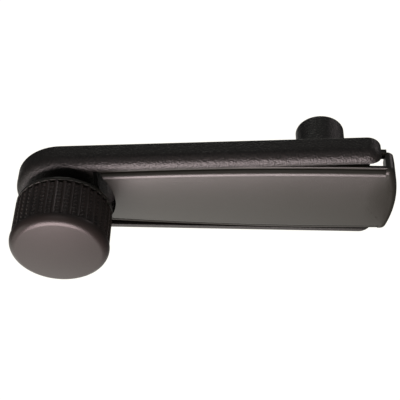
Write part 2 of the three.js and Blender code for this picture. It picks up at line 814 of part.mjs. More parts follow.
function knobBush() {
  const inner = spindleJournalRadius + runningGap;
  const flangeRearLevel = knobHubFront + seatGap;
  return turned([
    [inner, knobWebRear],
    [bushRadius, knobWebRear],
    [bushRadius, flangeRearLevel],
    [bushFlangeRadius, flangeRearLevel],
    [bushFlangeRadius, bushFront],
    [inner, bushFront],
  ], smallSides, -throwLength);
}

// Rubber sleeve with ribs along the knob's axis.
function gripSleeve() {
  const outline = [];
  const pitch = (2 * Math.PI) / sleeveRibCount;
  const ribShares = [0, 0.34, 0.46, 0.88];
  for (let i = 0; i < sleeveRibCount; i += 1) {
    ribShares.forEach((share, corner) => {
      const radius = corner < 2 ? sleeveRibRadius : sleeveRibRadius - sleeveRibHeight;
      const angle = pitch * (i + share);
      outline.push(new THREE.Vector2(radius * Math.cos(angle) - throwLength, radius * Math.sin(angle)));
    });
  }
  const boreRadius = knobRimRadius + seatGap;
  const bore = post(boreRadius, sleeveRear - overrun, sleeveFront + overrun, roundSides, -throwLength);
  return cut(prism(outline, sleeveRear, sleeveFront), bore);
}

// Smooth cap with a rounded edge, held by a skirt inside the knob's rim.
function knobCap() {
  const skirtOuter = knobRimRadius - knobRimWall - seatGap;
  const skirtInner = skirtOuter - capSkirtWall;
  const skirtRear = capRear - capSkirtLength;
  const ceiling = capFront - capWall;
  const slope = THREE.MathUtils.degToRad(capSlope);
  const edge = Array.from({ length: edgeSteps + 2 }, (_, i) => {
    const turn = slope + (Math.PI / 2 - slope) * (i / (edgeSteps + 1));
    return [
      capRadius - capEdgeRadius * (1 - Math.sin(turn)),
      capRear + capBand + capEdgeRadius * Math.cos(turn),
    ];
  });
  const [faceRadius, faceFront] = edge[0];
  const crownHeight = (faceRadius * Math.tan(slope)) / 2;
  const crownShares = [0.3, 0.6, 0.8];
  const crown = crownShares.map((share) => [faceRadius * share, faceFront + crownHeight * (1 - share ** 2)]);
  return turned([
    [0, faceFront + crownHeight],
    ...crown,
    ...edge,
    [capRadius, capRear],
    [skirtOuter, capRear],
    [skirtOuter, skirtRear],
    [skirtInner, skirtRear],
    [skirtInner, ceiling],
    [0, ceiling],
  ], roundSides, -throwLength);
}

const handle = new THREE.Group();
handle.add(
  piece('crank_arm', crankArm(), finishes.armPlastic),
  piece('hub_insert', hubInsert(), finishes.sinteredSteel),
  piece('plain_washer', plainWasher(), finishes.platedSteel),
  piece('lock_washer', lockWasher(), finishes.steel),
  piece('fixing_screw', fixingScrew(), finishes.platedSteel),
  piece('knob_spindle', knobSpindle(), finishes.steel),
  piece('spindle_backing_washer', backingWasher(), finishes.steel),
  piece('thrust_washer', thrustWasher(), finishes.acetal),
  piece('wave_washer', waveWasher(), finishes.steel),
  piece('retaining_ring', retainingRing(), finishes.steel),
);

const knob = new THREE.Group();
knob.add(
  piece('knob_core', knobCore(), finishes.coverPlastic),
  piece('knob_bush', knobBush(), finishes.acetal),
  piece('grip_sleeve', gripSleeve(), finishes.gripRubber),
  piece('knob_cap', knobCap(), finishes.coverPlastic),
);
handle.add(knob);

// The cover is made shut, and then swings about its hinge to where it rests.
const cover = piece('arm_cover', armCover(), finishes.coverPlastic);
cover.position.set(-hingeX, hingeLevel, 0);
const coverHinge = new THREE.Group();
coverHinge.position.set(hingeX, -hingeLevel, 0);
coverHinge.rotation.z = -THREE.MathUtils.degToRad(coverRestAngle);
coverHinge.add(cover);
handle.add(coverHinge);

export default handle;
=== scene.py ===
"""Car window winder handle: crank arm, hinged arm cover and turning knob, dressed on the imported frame."""

from __future__ import annotations

import logging
import math
from dataclasses import dataclass, field
from enum import Enum, IntEnum
from typing import Callable

import bpy
from mathutils import Matrix, Vector

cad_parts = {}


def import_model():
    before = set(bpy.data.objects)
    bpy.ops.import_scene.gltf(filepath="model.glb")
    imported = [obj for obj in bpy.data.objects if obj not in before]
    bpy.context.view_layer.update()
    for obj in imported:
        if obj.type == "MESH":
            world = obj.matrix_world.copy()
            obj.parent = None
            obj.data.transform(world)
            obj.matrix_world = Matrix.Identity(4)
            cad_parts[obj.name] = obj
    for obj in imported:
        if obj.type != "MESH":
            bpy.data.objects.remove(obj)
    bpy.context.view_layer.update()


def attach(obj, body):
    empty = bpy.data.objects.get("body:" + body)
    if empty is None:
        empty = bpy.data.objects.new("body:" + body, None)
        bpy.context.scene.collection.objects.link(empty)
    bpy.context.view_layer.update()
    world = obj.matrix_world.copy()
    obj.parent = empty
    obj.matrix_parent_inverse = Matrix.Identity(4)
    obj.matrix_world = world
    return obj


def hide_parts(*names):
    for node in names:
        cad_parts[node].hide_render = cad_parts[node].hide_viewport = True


LOG = logging.getLogger("winder_handle")
MM = 0.001

# In millimetres: vertices closer than the weld are merged, and edges under the sliver are dissolved.
WELD = 0.002
SLIVER = 0.001

# How far an eased corner's middle point lies in from the corner, as a share of the easing.
DIP_SHARE = 0.3

Piece = bpy.types.Object
Tree = bpy.types.ShaderNodeTree
Socket = bpy.types.NodeSocket
GroupMaker = Callable[[str], Tree]
Span = tuple[float, float]
Place = tuple[float, float, float]
Colour = tuple[float, float, float, float]
Profile = list[tuple[float, float]]


class Body(Enum):
    """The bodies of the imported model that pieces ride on."""

    ARM = "arm"
    KNOB = "knob"
    COVER = "cover"


class Slot(Enum):
    """The record's material slots."""

    ARM_PLASTIC = "arm_plastic"
    COVER_PLASTIC = "cover_plastic"
    GRIP_RUBBER = "grip_rubber"
    STEEL = "steel"
    PLATED_STEEL = "plated_steel"
    SINTERED_STEEL = "sintered_steel"
    ACETAL = "acetal"


class Facets(IntEnum):
    """How many facets a round shape gets."""

    PIN = 48
    SPINDLE = 64
    WASHER = 72
    HUB = 96
    KNOB = 128
    SCOOP = 160
    WIDE_ARC = 360


def srgb(red: float, green: float, blue: float) -> Colour:
    """Turn a colour of 0 to 255 as seen on a screen into the linear one that a shader takes."""

    def linear(value: float) -> float:
        """Undo the screen's curve for one channel."""
        share = value / 255
        return share / 12.92 if share <= 0.04045 else ((share + 0.055) / 1.055) ** 2.4

    return linear(red), linear(green), linear(blue), 1.0


def feed(tree: Tree, node: bpy.types.Node, inputs: dict[str | int, object]) -> None:
    """Give each of a node's inputs a constant or another node's output.

    Args:
        tree: The tree that the node is in.
        node: The node.
        inputs: What each input takes, by its name or its place in the list.
    """
    for key, value in inputs.items():
        if isinstance(value, bpy.types.NodeSocket):
            tree.links.new(value, node.inputs[key])
        else:
            node.inputs[key].default_value = value


def add_node(tree: Tree, kind: str, inputs: dict[str | int, object], **settings: object) -> bpy.types.Node:
    """Add a node, set it up and fill its inputs.

    Args:
        tree: The tree that it goes into.
        kind: Its type, without the leading ShaderNode.
        inputs: What each input takes, by its name or its place in the list.
        **settings: The node's own settings.

    Returns:
        The node.
    """
    node = tree.nodes.new(f"ShaderNode{kind}")
    for label, value in settings.items():
        setattr(node, label, value)
    feed(tree, node, inputs)
    return node


class GroupShop:
    """Builds each shader node group once and hands it out to the finishes that use it."""

    def __init__(self) -> None:
        """Start with no groups."""
        self._made: dict[str, Tree] = {}

    def get(self, name: str, build: GroupMaker) -> Tree:
        """Return the group of that name, built on its first use.

        Args:
            name: The group's name.
            build: Makes the group when it isn't there yet.

        Returns:
            The node group.
        """
        if name not in self._made:
            self._made[name] = build(name)
        return self._made[name]


SHOP = GroupShop()


def new_group(
    name: str,
    numbers: dict[str, float],
    outputs: tuple[str, ...],
) -> tuple[Tree, bpy.types.Node, bpy.types.Node]:
    """Make an empty shader group that reads a vector and numbers and puts out numbers.

    Args:
        name: The group's name.
        numbers: Name and default of each number that it reads.
        outputs: Name of each number that it puts out.

    Returns:
        The group, its input node and its output node.
    """
    tree = bpy.data.node_groups.new(name, "ShaderNodeTree")
    tree.interface.new_socket(name="Vector", in_out="INPUT", socket_type="NodeSocketVector")
    for label, default in numbers.items():
        socket = tree.interface.new_socket(name=label, in_out="INPUT", socket_type="NodeSocketFloat")
        socket.default_value = default
    for label in outputs:
        tree.interface.new_socket(name=label, in_out="OUTPUT", socket_type="NodeSocketFloat")
    return tree, tree.nodes.new("NodeGroupInput"), tree.nodes.new("NodeGroupOutput")


def build_grain(name: str) -> Tree:
    """Build the moulded grain: a fine pebbly relief as a height, with a mask that is 1 on its tops, by
    which a finish paints shade into the hollows.

    Args:
        name: The group's name.

    Returns:
        The node group.
    """
    tree, given, result = new_group(name, {"Pebble Scale": 1600.0, "Roundness": 0.6}, ("Height", "Top"))
    vector, scale = given.outputs["Vector"], given.outputs["Pebble Scale"]
    cells = add_node(
        tree, "TexVoronoi",
        {"Vector": vector, "Scale": scale, "Smoothness": given.outputs["Roundness"]},
        feature="SMOOTH_F1",
    )
    noise = add_node(tree, "TexNoise", {"Vector": vector, "Scale": scale, "Detail": 3.0})
    noise_share = 0.45
    height = add_node(
        tree, "Mix",
        {"Factor": noise_share, 2: cells.outputs["Distance"], 3: noise.outputs["Fac"]},
        data_type="FLOAT",
    ).outputs[0]
    # The mask is 1 on the tops and 0 in the hollows, which the arm's finish paints darker as shade.
    top = add_node(tree, "MapRange", {"Value": height, "From Min": 0.3, "From Max": 0.6})
    feed(tree, result, {"Height": height, "Top": top.outputs["Result"]})
    return tree


def build_handling(name: str) -> Tree:
    """Build the marks of handling: broad cloudy patches of polish, and fine specks.

    Args:
        name: The group's name.

    Returns:
        The node group.
    """
    tree, given, result = new_group(name, {"Patch Scale": 45.0, "Speck Scale": 900.0}, ("Patch", "Speck"))
    vector = given.outputs["Vector"]
    patch = add_node(
        tree, "TexNoise",
        {"Vector": vector, "Scale": given.outputs["Patch Scale"], "Detail": 4.0, "Roughness": 0.6},
    )
    speck = add_node(
        tree, "TexNoise",
        {"Vector": vector, "Scale": given.outputs["Speck Scale"], "Detail": 2.0},
    )
    sharpen = add_node(
        tree, "MapRange",
        {"Value": speck.outputs["Fac"], "From Min": 0.62, "From Max": 0.75},
    )
    feed(tree, result, {"Patch": patch.outputs["Fac"], "Speck": sharpen.outputs["Result"]})
    return tree


class ShaderSheet:
    """A material under construction, with short names for the steps that every finish takes."""

    def __init__(self, name: str) -> None:
        """Make the material with a bare Principled shader.

        Args:
            name: The material's name.
        """
        self.material = bpy.data.materials.new(name)
        self.material.use_nodes = True
        self.tree = self.material.node_tree
        self.place = self.tree.nodes.new("ShaderNodeTexCoord").outputs["Object"]

    def group(self, name: str, build: GroupMaker, **values: float) -> bpy.types.bpy_prop_collection:
        """Place a shared group that reads this material's Object coordinates.

        Args:
            name: The group's name.
            build: Makes the group when it isn't there yet.
            **values: Values for its inputs, with _ for a space in a name.

        Returns:
            The group's outputs.
        """
        node = self.tree.nodes.new("ShaderNodeGroup")
        node.node_tree = SHOP.get(name, build)
        inputs = {label.replace("_", " "): value for label, value in values.items()}
        feed(self.tree, node, {"Vector": self.place, **inputs})
        return node.outputs

    def grain(self, scale: float) -> bpy.types.bpy_prop_collection:
        """Place the moulded grain at a scale and return its outputs."""
        return self.group("moulded_grain", build_grain, Pebble_Scale=scale)

    def marks(self, scale: float) -> bpy.types.bpy_prop_collection:
        """Place the marks of handling, with patches of a scale, and return their outputs."""
        return self.group("handling_marks", build_handling, Patch_Scale=scale)

    def mix(self, factor: Socket, first: Colour, second: Colour) -> Socket:
        """Mix two colours by a mask.

        Args:
            factor: The mask.
            first: Colour where the mask is 0.
            second: Colour where it is 1.

        Returns:
            The mixed colour's socket.
        """
        node = add_node(self.tree, "Mix", {"Factor": factor, 6: first, 7: second}, data_type="RGBA")
        return node.outputs[2]

    def spread(self, value: Socket, results: Span) -> Socket:
        """Stretch a value of 0 to 1 over another range.

        Args:
            value: The value.
            results: What it becomes at 0 and at 1.

        Returns:
            The result's socket.
        """
        inputs = {"Value": value, "To Min": results[0], "To Max": results[1]}
        return add_node(self.tree, "MapRange", inputs).outputs["Result"]

    def bump(self, height: Socket, depth: float, strength: float) -> Socket:
        """Make a relief.

        Args:
            height: The height map.
            depth: Real depth of the relief, in metres.
            strength: Share of it that shows.

        Returns:
            The normal's socket.
        """
        inputs = {"Distance": depth, "Strength": strength, "Height": height}
        return add_node(self.tree, "Bump", inputs).outputs["Normal"]

    def finish(self, **inputs: object) -> bpy.types.Material:
        """Fill the shader's inputs.

        Args:
            **inputs: A constant or a socket for each input, with _ for a space in a name.

        Returns:
            The material.
        """
        shader = self.tree.nodes["Principled BSDF"]
        feed(self.tree, shader, {label.replace("_", " "): value for label, value in inputs.items()})
        return self.material


@dataclass(frozen=True)
class GrainedPlastic:
    """Near-black moulded plastic with a fine spark-eroded grain, painted darker in its hollows as shade.
    Depths are in metres.
    """

    name: str = "grained_black_plastic"
    # light is painted on the grain's tops, and dark is painted shade in its hollows.
    light: Colour = srgb(33, 30, 27)
    dark: Colour = srgb(12, 12, 10)
    pebble_scale: float = 1700.0
    grain_depth: float = 0.00024
    relief: float = 1.0
    patch_scale: float = 45.0
    roughness: Span = (0.38, 0.5)
    sheen: float = 0.85

    def build(self) -> bpy.types.Material:
        """Make and return the material."""
        sheet = ShaderSheet(self.name)
        grain, marks = sheet.grain(self.pebble_scale), sheet.marks(self.patch_scale)
        return sheet.finish(
            # Painted shade: the grain's hollows get the dark colour and its tops the light one.
            Base_Color=sheet.mix(grain["Top"], self.dark, self.light),
            Roughness=sheet.spread(marks["Patch"], self.roughness),
            Normal=sheet.bump(grain["Height"], self.grain_depth, self.relief),
            Specular_IOR_Level=self.sheen,
        )


@dataclass(frozen=True)
class SatinPlastic:
    """Smooth dark grey plastic with a satin gloss and faint marks of handling. Depths are in metres."""

    name: str = "satin_grey_plastic"
    base: Colour = srgb(37, 37, 29)
    worn: Colour = srgb(33, 33, 25)
    pebble_scale: float = 2400.0
    grain_depth: float = 0.00007
    relief: float = 0.5
    patch_scale: float = 60.0
    roughness: Span = (0.31, 0.42)
    sheen: float = 1.0
    tint: Colour = (1.0, 1.0, 1.0, 1.0)

    def build(self) -> bpy.types.Material:
        """Make and return the material."""
        sheet = ShaderSheet(self.name)
        grain, marks = sheet.grain(self.pebble_scale), sheet.marks(self.patch_scale)
        return sheet.finish(
            Base_Color=sheet.mix(marks["Patch"], self.base, self.worn),
            Roughness=sheet.spread(marks["Patch"], self.roughness),
            Normal=sheet.bump(grain["Height"], self.grain_depth, self.relief),
            Specular_IOR_Level=self.sheen,
            Specular_Tint=self.tint,
        )


@dataclass(frozen=True)
class GripRubber:
    """Black rubber with dust in its fine texture. Depths are in metres."""

    name: str = "black_grip_rubber"
    base: Colour = srgb(17, 15, 14)
    dusty: Colour = srgb(60, 45, 39)
    pebble_scale: float = 2600.0
    grain_depth: float = 0.00005
    relief: float = 0.4
    patch_scale: float = 120.0
    roughness: Span = (0.27, 0.42)
    sheen: float = 1.0

    def build(self) -> bpy.types.Material:
        """Make and return the material."""
        sheet = ShaderSheet(self.name)
        grain, marks = sheet.grain(self.pebble_scale), sheet.marks(self.patch_scale)
        return sheet.finish(
            Base_Color=sheet.mix(marks["Patch"], self.base, self.dusty),
            Roughness=sheet.spread(marks["Patch"], self.roughness),
            Normal=sheet.bump(grain["Height"], self.grain_depth, self.relief),
            Specular_IOR_Level=self.sheen,
        )


@dataclass(frozen=True)
class BareMetal:
    """Turned or pressed metal with fine machining marks. Depths are in metres."""

    name: str
    base: Colour
    stained: Colour
    roughness: Span
    patch_scale: float = 260.0
    mark_depth: float = 0.00004
    relief: float = 0.3

    def build(self) -> bpy.types.Material:
        """Make and return the material."""
        sheet = ShaderSheet(self.name)
        marks = sheet.marks(self.patch_scale)
        return sheet.finish(
            Base_Color=sheet.mix(marks["Patch"], self.base, self.stained),
            Roughness=sheet.spread(marks["Speck"], self.roughness),
            Normal=sheet.bump(marks["Patch"], self.mark_depth, self.relief),
            Metallic=1.0,
        )


@dataclass(frozen=True)
class NaturalAcetal:
    """Off-white bearing plastic, slightly waxy. Depths are in metres."""

    name: str = "natural_acetal"
    base: Colour = srgb(222, 217, 204)
    greasy: Colour = srgb(196, 188, 168)
    roughness: Span = (0.35, 0.55)
    patch_scale: float = 300.0
    mark_depth: float = 0.00004
    relief: float = 0.2

    def build(self) -> bpy.types.Material:
        """Make and return the material."""
        sheet = ShaderSheet(self.name)
        marks = sheet.marks(self.patch_scale)
        return sheet.finish(
            Base_Color=sheet.mix(marks["Patch"], self.base, self.greasy),
            Roughness=sheet.spread(marks["Patch"], self.roughness),
            Normal=sheet.bump(marks["Patch"], self.mark_depth, self.relief),
        )


BRIGHT_STEEL = BareMetal(
    "bright_steel", base=srgb(176, 175, 172), stained=srgb(140, 137, 132), roughness=(0.22, 0.4),
)
ZINC_PLATE = BareMetal(
    "zinc_plated_steel", base=srgb(196, 192, 180), stained=srgb(168, 160, 138), roughness=(0.2, 0.38),
)
SINTERED_STEEL = BareMetal(
    "sintered_steel", base=srgb(122, 120, 117), stained=srgb(92, 88, 82), roughness=(0.45, 0.65),
)
CAP_PLASTIC = SatinPlastic(
    "satin_cap_plastic", base=srgb(42, 36, 33), worn=srgb(36, 31, 28),
    sheen=0.78, tint=(1.0, 0.95, 0.95, 1.0),
)


@dataclass
class Finishes:
    """Every finish on the handle, by the record's slot, and those of single pieces, by their node."""

    materials: dict[Slot, bpy.types.Material] = field(default_factory=dict)
    special: dict[str, bpy.types.Material] = field(default_factory=dict)

    def build(self) -> None:
        """Make all the materials."""
        self.materials = {
            Slot.ARM_PLASTIC: GrainedPlastic().build(),
            Slot.COVER_PLASTIC: SatinPlastic().build(),
            Slot.GRIP_RUBBER: GripRubber().build(),
            Slot.STEEL: BRIGHT_STEEL.build(),
            Slot.PLATED_STEEL: ZINC_PLATE.build(),
            Slot.SINTERED_STEEL: SINTERED_STEEL.build(),
            Slot.ACETAL: NaturalAcetal().build(),
        }
        self.special = {"knob_cap": CAP_PLASTIC.build()}

    def dress(self, piece: Piece, node: str, slot: Slot) -> None:
        """Give a piece the finish of its slot, or its own.

        Args:
            piece: The piece.
            node: The CAD node that it stands for.
            slot: The record's slot.
        """
        piece.data.materials.clear()
        piece.data.materials.append(self.special.get(node, self.materials[slot]))


def deselect() -> None:
    """Leave edit mode and deselect every object."""
    if bpy.context.object and bpy.context.object.mode != "OBJECT":
        leave_edit()
    bpy.ops.object.select_all(action="DESELECT")


def activate(piece: Piece) -> None:
    """Make a piece the one object that operators work on."""
    deselect()
    piece.select_set(True)
    bpy.context.view_layer.objects.active = piece


def edit_all(piece: Piece) -> None:
    """Enter edit mode with all of a piece selected."""
    activate(piece)
    bpy.ops.object.mode_set(mode="EDIT")
    bpy.ops.mesh.select_all(action="SELECT")


def leave_edit() -> None:
    """Go back to object mode."""
    bpy.ops.object.mode_set(mode="OBJECT")


def settle() -> Piece:
    """Put the new primitive's place into its mesh and return it."""
    bpy.ops.object.transform_apply(location=True, rotation=True, scale=True)
    return bpy.context.object


def block(x: Span, depth: Span, z: Span) -> Piece:
    """Add a box between two X, two depths and two Z.

    Args:
        x: Its limits along X, in millimetres.
        depth: Its rear and front, as distances in front of the hub's rear face.
        z: Its limits along Z.

    Returns:
        The box.
    """
    deselect()
    bpy.ops.mesh.primitive_cube_add(
        size=1,
        location=((x[0] + x[1]) / 2, -(depth[0] + depth[1]) / 2, (z[0] + z[1]) / 2),
        scale=(x[1] - x[0], depth[1] - depth[0], z[1] - z[0]),
    )
    return settle()


def post(radius: float, depth: Span, sides: int, x: float = 0.0, z: float = 0.0) -> Piece:
    """Add a cylinder along Y.

    Args:
        radius: Its radius.
        depth: Its rear and front.
        sides: How many facets it has.
        x: Where its axis is along X.
        z: Where its axis is along Z.

    Returns:
        The cylinder.
    """
    deselect()
    bpy.ops.mesh.primitive_cylinder_add(
        vertices=sides,
        radius=radius,
        depth=depth[1] - depth[0],
        location=(x, -(depth[0] + depth[1]) / 2, z),
        rotation=(math.pi / 2, 0, 0),
    )
    return settle()


def rod(radius: float, z: Span, x: float, depth: float) -> Piece:
    """Add a cylinder along Z.

    Args:
        radius: Its radius.
        z: Its limits along Z.
        x: Where its axis is along X.
        depth: How far in front of the hub's rear face its axis is.

    Returns:
        The cylinder.
    """
    deselect()
    bpy.ops.mesh.primitive_cylinder_add(
        vertices=Facets.PIN, radius=radius, depth=z[1] - z[0], location=(x, -depth, (z[0] + z[1]) / 2),
    )
    return settle()


def pick(piece: Piece, test: Callable[[Vector], bool]) -> None:
    """Select the vertices that pass a test, and enter edit mode.

    Args:
        piece: The piece.
        test: Told a vertex's place, says whether it is wanted.
    """
    activate(piece)
    bpy.ops.object.mode_set(mode="EDIT")
    bpy.ops.mesh.select_mode(type="VERT")
    bpy.ops.mesh.select_all(action="DESELECT")
    leave_edit()
    for vertex in piece.data.vertices:
        vertex.select = test(vertex.co)
    bpy.ops.object.mode_set(mode="EDIT")


def pick_edges(piece: Piece, test: Callable[[Vector, Vector], bool]) -> None:
    """Select the edges that pass a test, and enter edit mode.

    Args:
        piece: The piece.
        test: Told the places of an edge's two ends, says whether it is wanted.
    """
    activate(piece)
    bpy.ops.object.mode_set(mode="EDIT")
    bpy.ops.mesh.select_mode(type="EDGE")
    bpy.ops.mesh.select_all(action="DESELECT")
    leave_edit()
    points = piece.data.vertices
    for edge in piece.data.edges:
        edge.select = test(points[edge.vertices[0]].co, points[edge.vertices[1]].co)
    bpy.ops.object.mode_set(mode="EDIT")


def stretch(scale: Place, centre: Place) -> None:
    """Scale what is picked about a point, and leave edit mode.

    Args:
        scale: By how much along X, Y and Z.
        centre: The point that stays.
    """
    bpy.ops.transform.resize(value=scale, center_override=centre)
    leave_edit()


def swing(piece: Piece, angle: float, axis: str, centre: Place) -> None:
    """Turn a whole piece about a point.

    Args:
        piece: The piece.
        angle: By how much, in radians.
        axis: The axis that it turns about: X, Y or Z.
        centre: The point that stays.
    """
    edit_all(piece)
    bpy.ops.transform.rotate(value=angle, orient_axis=axis, center_override=centre)
    leave_edit()


def bevel(piece: Piece, test: Callable[[Vector, Vector], bool], width: float, segments: int) -> None:
    """Round the edges that pass a test.

    Args:
        piece: The piece.
        test: Told the places of an edge's two ends, says whether it is wanted.
        width: How wide the rounding is.
        segments: How many facets it gets.
    """
    pick_edges(piece, test)
    bpy.ops.mesh.bevel(offset=width, segments=segments, profile=0.5, affect="EDGES")
    leave_edit()


def near(value: float, aim: float, slack: float = 0.01) -> bool:
    """Tell whether a measure is what it should be."""
    return abs(value - aim) < slack


def runs_along_x(first: Vector, second: Vector) -> bool:
    """Tell an edge that runs along X from one across it, by its two ends."""
    return not near(first.x, second.x)


def soften(piece: Piece, width: float, segments: int = 2, angle: float = 40.0) -> None:
    """Break every sharp edge with a small bevel.

    Args:
        piece: The piece.
        width: The bevel's width.
        segments: How many facets it gets.
        angle: Only edges sharper than this many degrees are broken.
    """
    activate(piece)
    modifier = piece.modifiers.new("soft_edges", "BEVEL")
    modifier.width = width
    modifier.segments = segments
    modifier.limit_method = "ANGLE"
    modifier.angle_limit = math.radians(angle)
    modifier.use_clamp_overlap = True
    bpy.ops.object.modifier_apply(modifier=modifier.name)


def merge_flat_faces(piece: Piece, angle: float = 0.3) -> None:
    """Merge neighbouring faces that lie in one plane.

    Args:
        piece: The piece.
        angle: Faces that turn less than this many degrees count as one plane.
    """
    edit_all(piece)
    bpy.ops.mesh.dissolve_limited(angle_limit=math.radians(angle))
    leave_edit()


def combine(piece: Piece, operation: str, tools: tuple[Piece, ...]) -> Piece:
    """Join other shapes to a piece or cut them from it, and use them up.

    Args:
        piece: The piece.
        operation: UNION or DIFFERENCE.
        tools: The other shapes.

    Returns:
        The piece.
    """
    for tool in tools:
        activate(piece)
        modifier = piece.modifiers.new("shape", "BOOLEAN")
        modifier.operation = operation
        modifier.solver = "EXACT"
        modifier.object = tool
        bpy.ops.object.modifier_apply(modifier=modifier.name)
        mesh = tool.data
        bpy.data.objects.remove(tool)
        bpy.data.meshes.remove(mesh)
    return piece


def join(piece: Piece, *tools: Piece) -> Piece:
    """Join other shapes to a piece."""
    return combine(piece, "UNION", tools)


def cut(piece: Piece, *tools: Piece) -> Piece:
    """Cut other shapes from a piece."""
    return combine(piece, "DIFFERENCE", tools)


def face_outwards(piece: Piece) -> Piece:
    """Turn all of a piece's faces outwards and return it."""
    edit_all(piece)
    bpy.ops.mesh.normals_make_consistent(inside=False)
    leave_edit()
    return piece


def turned(profile: Profile, sides: int, x: float = 0.0) -> Piece:
    """Turn a profile about an axis along Y, ring by ring.

    Args:
        profile: Radius and depth of each corner. A profile whose ends have radius 0 is solid;
            any other one is closed into a ring.
        sides: How many facets the piece has round its axis.
        x: Where the axis is along X.

    Returns:
        The piece.
    """
    solid = profile[0][0] == 0
    rings = profile[1:-1] if solid else profile
    deselect()
    bpy.ops.mesh.primitive_circle_add(
        vertices=sides, radius=rings[0][0], location=(x, -rings[0][1], 0), rotation=(math.pi / 2, 0, 0),
    )
    piece = settle()
    edit_all(piece)
    if solid:
        bpy.ops.mesh.edge_face_add()
        bpy.ops.mesh.select_mode(type="EDGE")
        bpy.ops.mesh.select_all(action="SELECT")
    for (radius, depth), (next_radius, next_depth) in zip(rings, rings[1:]):
        bpy.ops.mesh.extrude_edges_move(TRANSFORM_OT_translate={"value": (0, depth - next_depth, 0)})
        share = next_radius / radius
        bpy.ops.transform.resize(value=(share, 1, share), center_override=(x, -next_depth, 0))
    if solid:
        bpy.ops.mesh.edge_face_add()
    else:
        leave_edit()
        count = len(piece.data.vertices)
        for edge in piece.data.edges:
            first, second = edge.vertices
            edge.select = max(first, second) < sides or min(first, second) >= count - sides
        bpy.ops.object.mode_set(mode="EDIT")
        bpy.ops.mesh.bridge_edge_loops()
    return face_outwards(piece)


def eased(radius: float, level: float, size: float, front: bool = False) -> Profile:
    """List the three points that ease an outer corner of a turned piece, in its profile's order.

    Args:
        radius: The corner's radius.
        level: The corner's level.
        size: How far back from the corner the easing starts.
        front: Whether the corner is at the front, where the profile comes from the rear.

    Returns:
        The points.
    """
    dip = DIP_SHARE * size
    side = -1 if front else 1
    points = [(radius - size, level), (radius - dip, level + side * dip), (radius, level + side * size)]
    return points[::-1] if front else points


def ring(radii: Span, levels: Span, sides: int, x: float = 0.0) -> Piece:
    """Make a flat ring.

    Args:
        radii: Its inner and outer radius.
        levels: Its rear and front.
        sides: How many facets it has round its axis.
        x: Where its axis is along X.

    Returns:
        The ring.
    """
    (inner, outer), (rear, front) = radii, levels
    return turned([(inner, rear), (outer, rear), (outer, front), (inner, front)], sides, x)


def lofted(outlines: list[list[Vector]]) -> Piece:
    """Raise a plate ring by ring: each ring is extruded from the last and set to its own outline.

    Args:
        outlines: Outlines of equal count, rear one first, each anticlockwise seen from the front.

    Returns:
        The plate.
    """
    count = len(outlines[0])
    deselect()
    bpy.ops.mesh.primitive_circle_add(
        vertices=count, radius=1, fill_type="NGON", rotation=(math.pi / 2, 0, 0),
    )
    piece = settle()
    for point, place in zip(piece.data.vertices, outlines[0]):
        point.co = place
    for last, outline in zip(outlines, outlines[1:]):
        bpy.ops.object.mode_set(mode="EDIT")
        bpy.ops.mesh.extrude_region_move()
        leave_edit()
        for point in piece.data.vertices:
            if point.select:
                nearest = min(range(count), key=lambda index: (last[index] - point.co).length_squared)
                point.co = outline[nearest]
    return face_outwards(piece)


@dataclass(frozen=True)
class Layout:
    """Places and levels that the sub-assemblies share, in millimetres.

    The spindle axis is Y and the knob lies towards -X. A level is a distance in front of the
    hub's rear face, so a point at that level has y = -level. Shapes that are joined reach into
    each other by the sink, outer corners are eased by the ease, and shapes that cut a hidden
    piece run past it by the clear.
    """

    throw: float = 87.6
    knob_end_radius: float = 17.1
    spindle_side_radius: float = 20.0
    arm_reach: float = 18.05
    arm_rear: float = 22.2
    tray_level: float = 24.1
    ledge_level: float = 28.4
    arm_front: float = 30.7
    pedestal_top: float = 34.1
    hinge_x: float = -71.0
    hinge_level: float = 26.6
    rim_width: float = 3.9
    floor_reach: float = 15.0
    rest_angle: float = 1.05
    gap: float = 0.3
    sink: float = 0.4
    ease: float = 0.4
    clear: float = 1.0

    @property
    def knob_x(self) -> float:
        """Where the knob's axis is along X."""
        return -self.throw

    def half_width(self, x: float, inset: float = 0.0) -> float:
        """Measure half the arm's width at x.

        Args:
            x: The place along the arm.
            inset: How far in from the side, square to it.

        Returns:
            Half the width there.
        """
        slope = math.asin((self.spindle_side_radius - self.knob_end_radius) / self.throw)
        return (self.spindle_side_radius - inset + x * math.sin(slope)) / math.cos(slope)

    def strip(self, x: Span, depth: Span, inset: float) -> Piece:
        """Add a block whose sides run along the arm's sides.

        Args:
            x: Its limits along the arm.
            depth: Its rear and front.
            inset: How far it stays inside the arm's sides.

        Returns:
            The block.
        """
        near_half, far_half = self.half_width(x[0], inset), self.half_width(x[1], inset)
        piece = block(x, depth, (-far_half, far_half))
        pick(piece, lambda point: near(point.x, x[0]))
        stretch((1, 1, near_half / far_half), (x[0], 0, 0))
        return piece


@dataclass
class SubAssembly:
    """What every sub-assembly has: the layout, the finishes and the body that it rides on."""

    layout: Layout
    finishes: Finishes
    body: Body = Body.ARM

    def hand_over(self, piece: Piece, node: str, slot: Slot, angle: float = 35.0) -> None:
        """Finish a piece: bring it to metres, shade it, dress it and set it on its body.

        Args:
            piece: The piece, modelled in millimetres.
            node: The CAD node that it stands for.
            slot: The record's material slot.
            angle: Edges sharper than this many degrees stay sharp.
        """
        edit_all(piece)
        bpy.ops.mesh.remove_doubles(threshold=WELD)
        bpy.ops.mesh.dissolve_degenerate(threshold=SLIVER)
        stretch((MM, MM, MM), (0, 0, 0))
        bpy.ops.object.shade_smooth_by_angle(angle=math.radians(angle))
        modifier = piece.modifiers.new("even_normals", "WEIGHTED_NORMAL")
        modifier.keep_sharp = True
        bpy.ops.object.modifier_apply(modifier=modifier.name)
        piece.name = f"{node}_fine"
        piece.data.name = piece.name
        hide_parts(node)
        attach(piece, self.body.value)
        self.finishes.dress(piece, node, slot)
        LOG.info("%s: %d faces on %s", piece.name, len(piece.data.polygons), self.body.value)


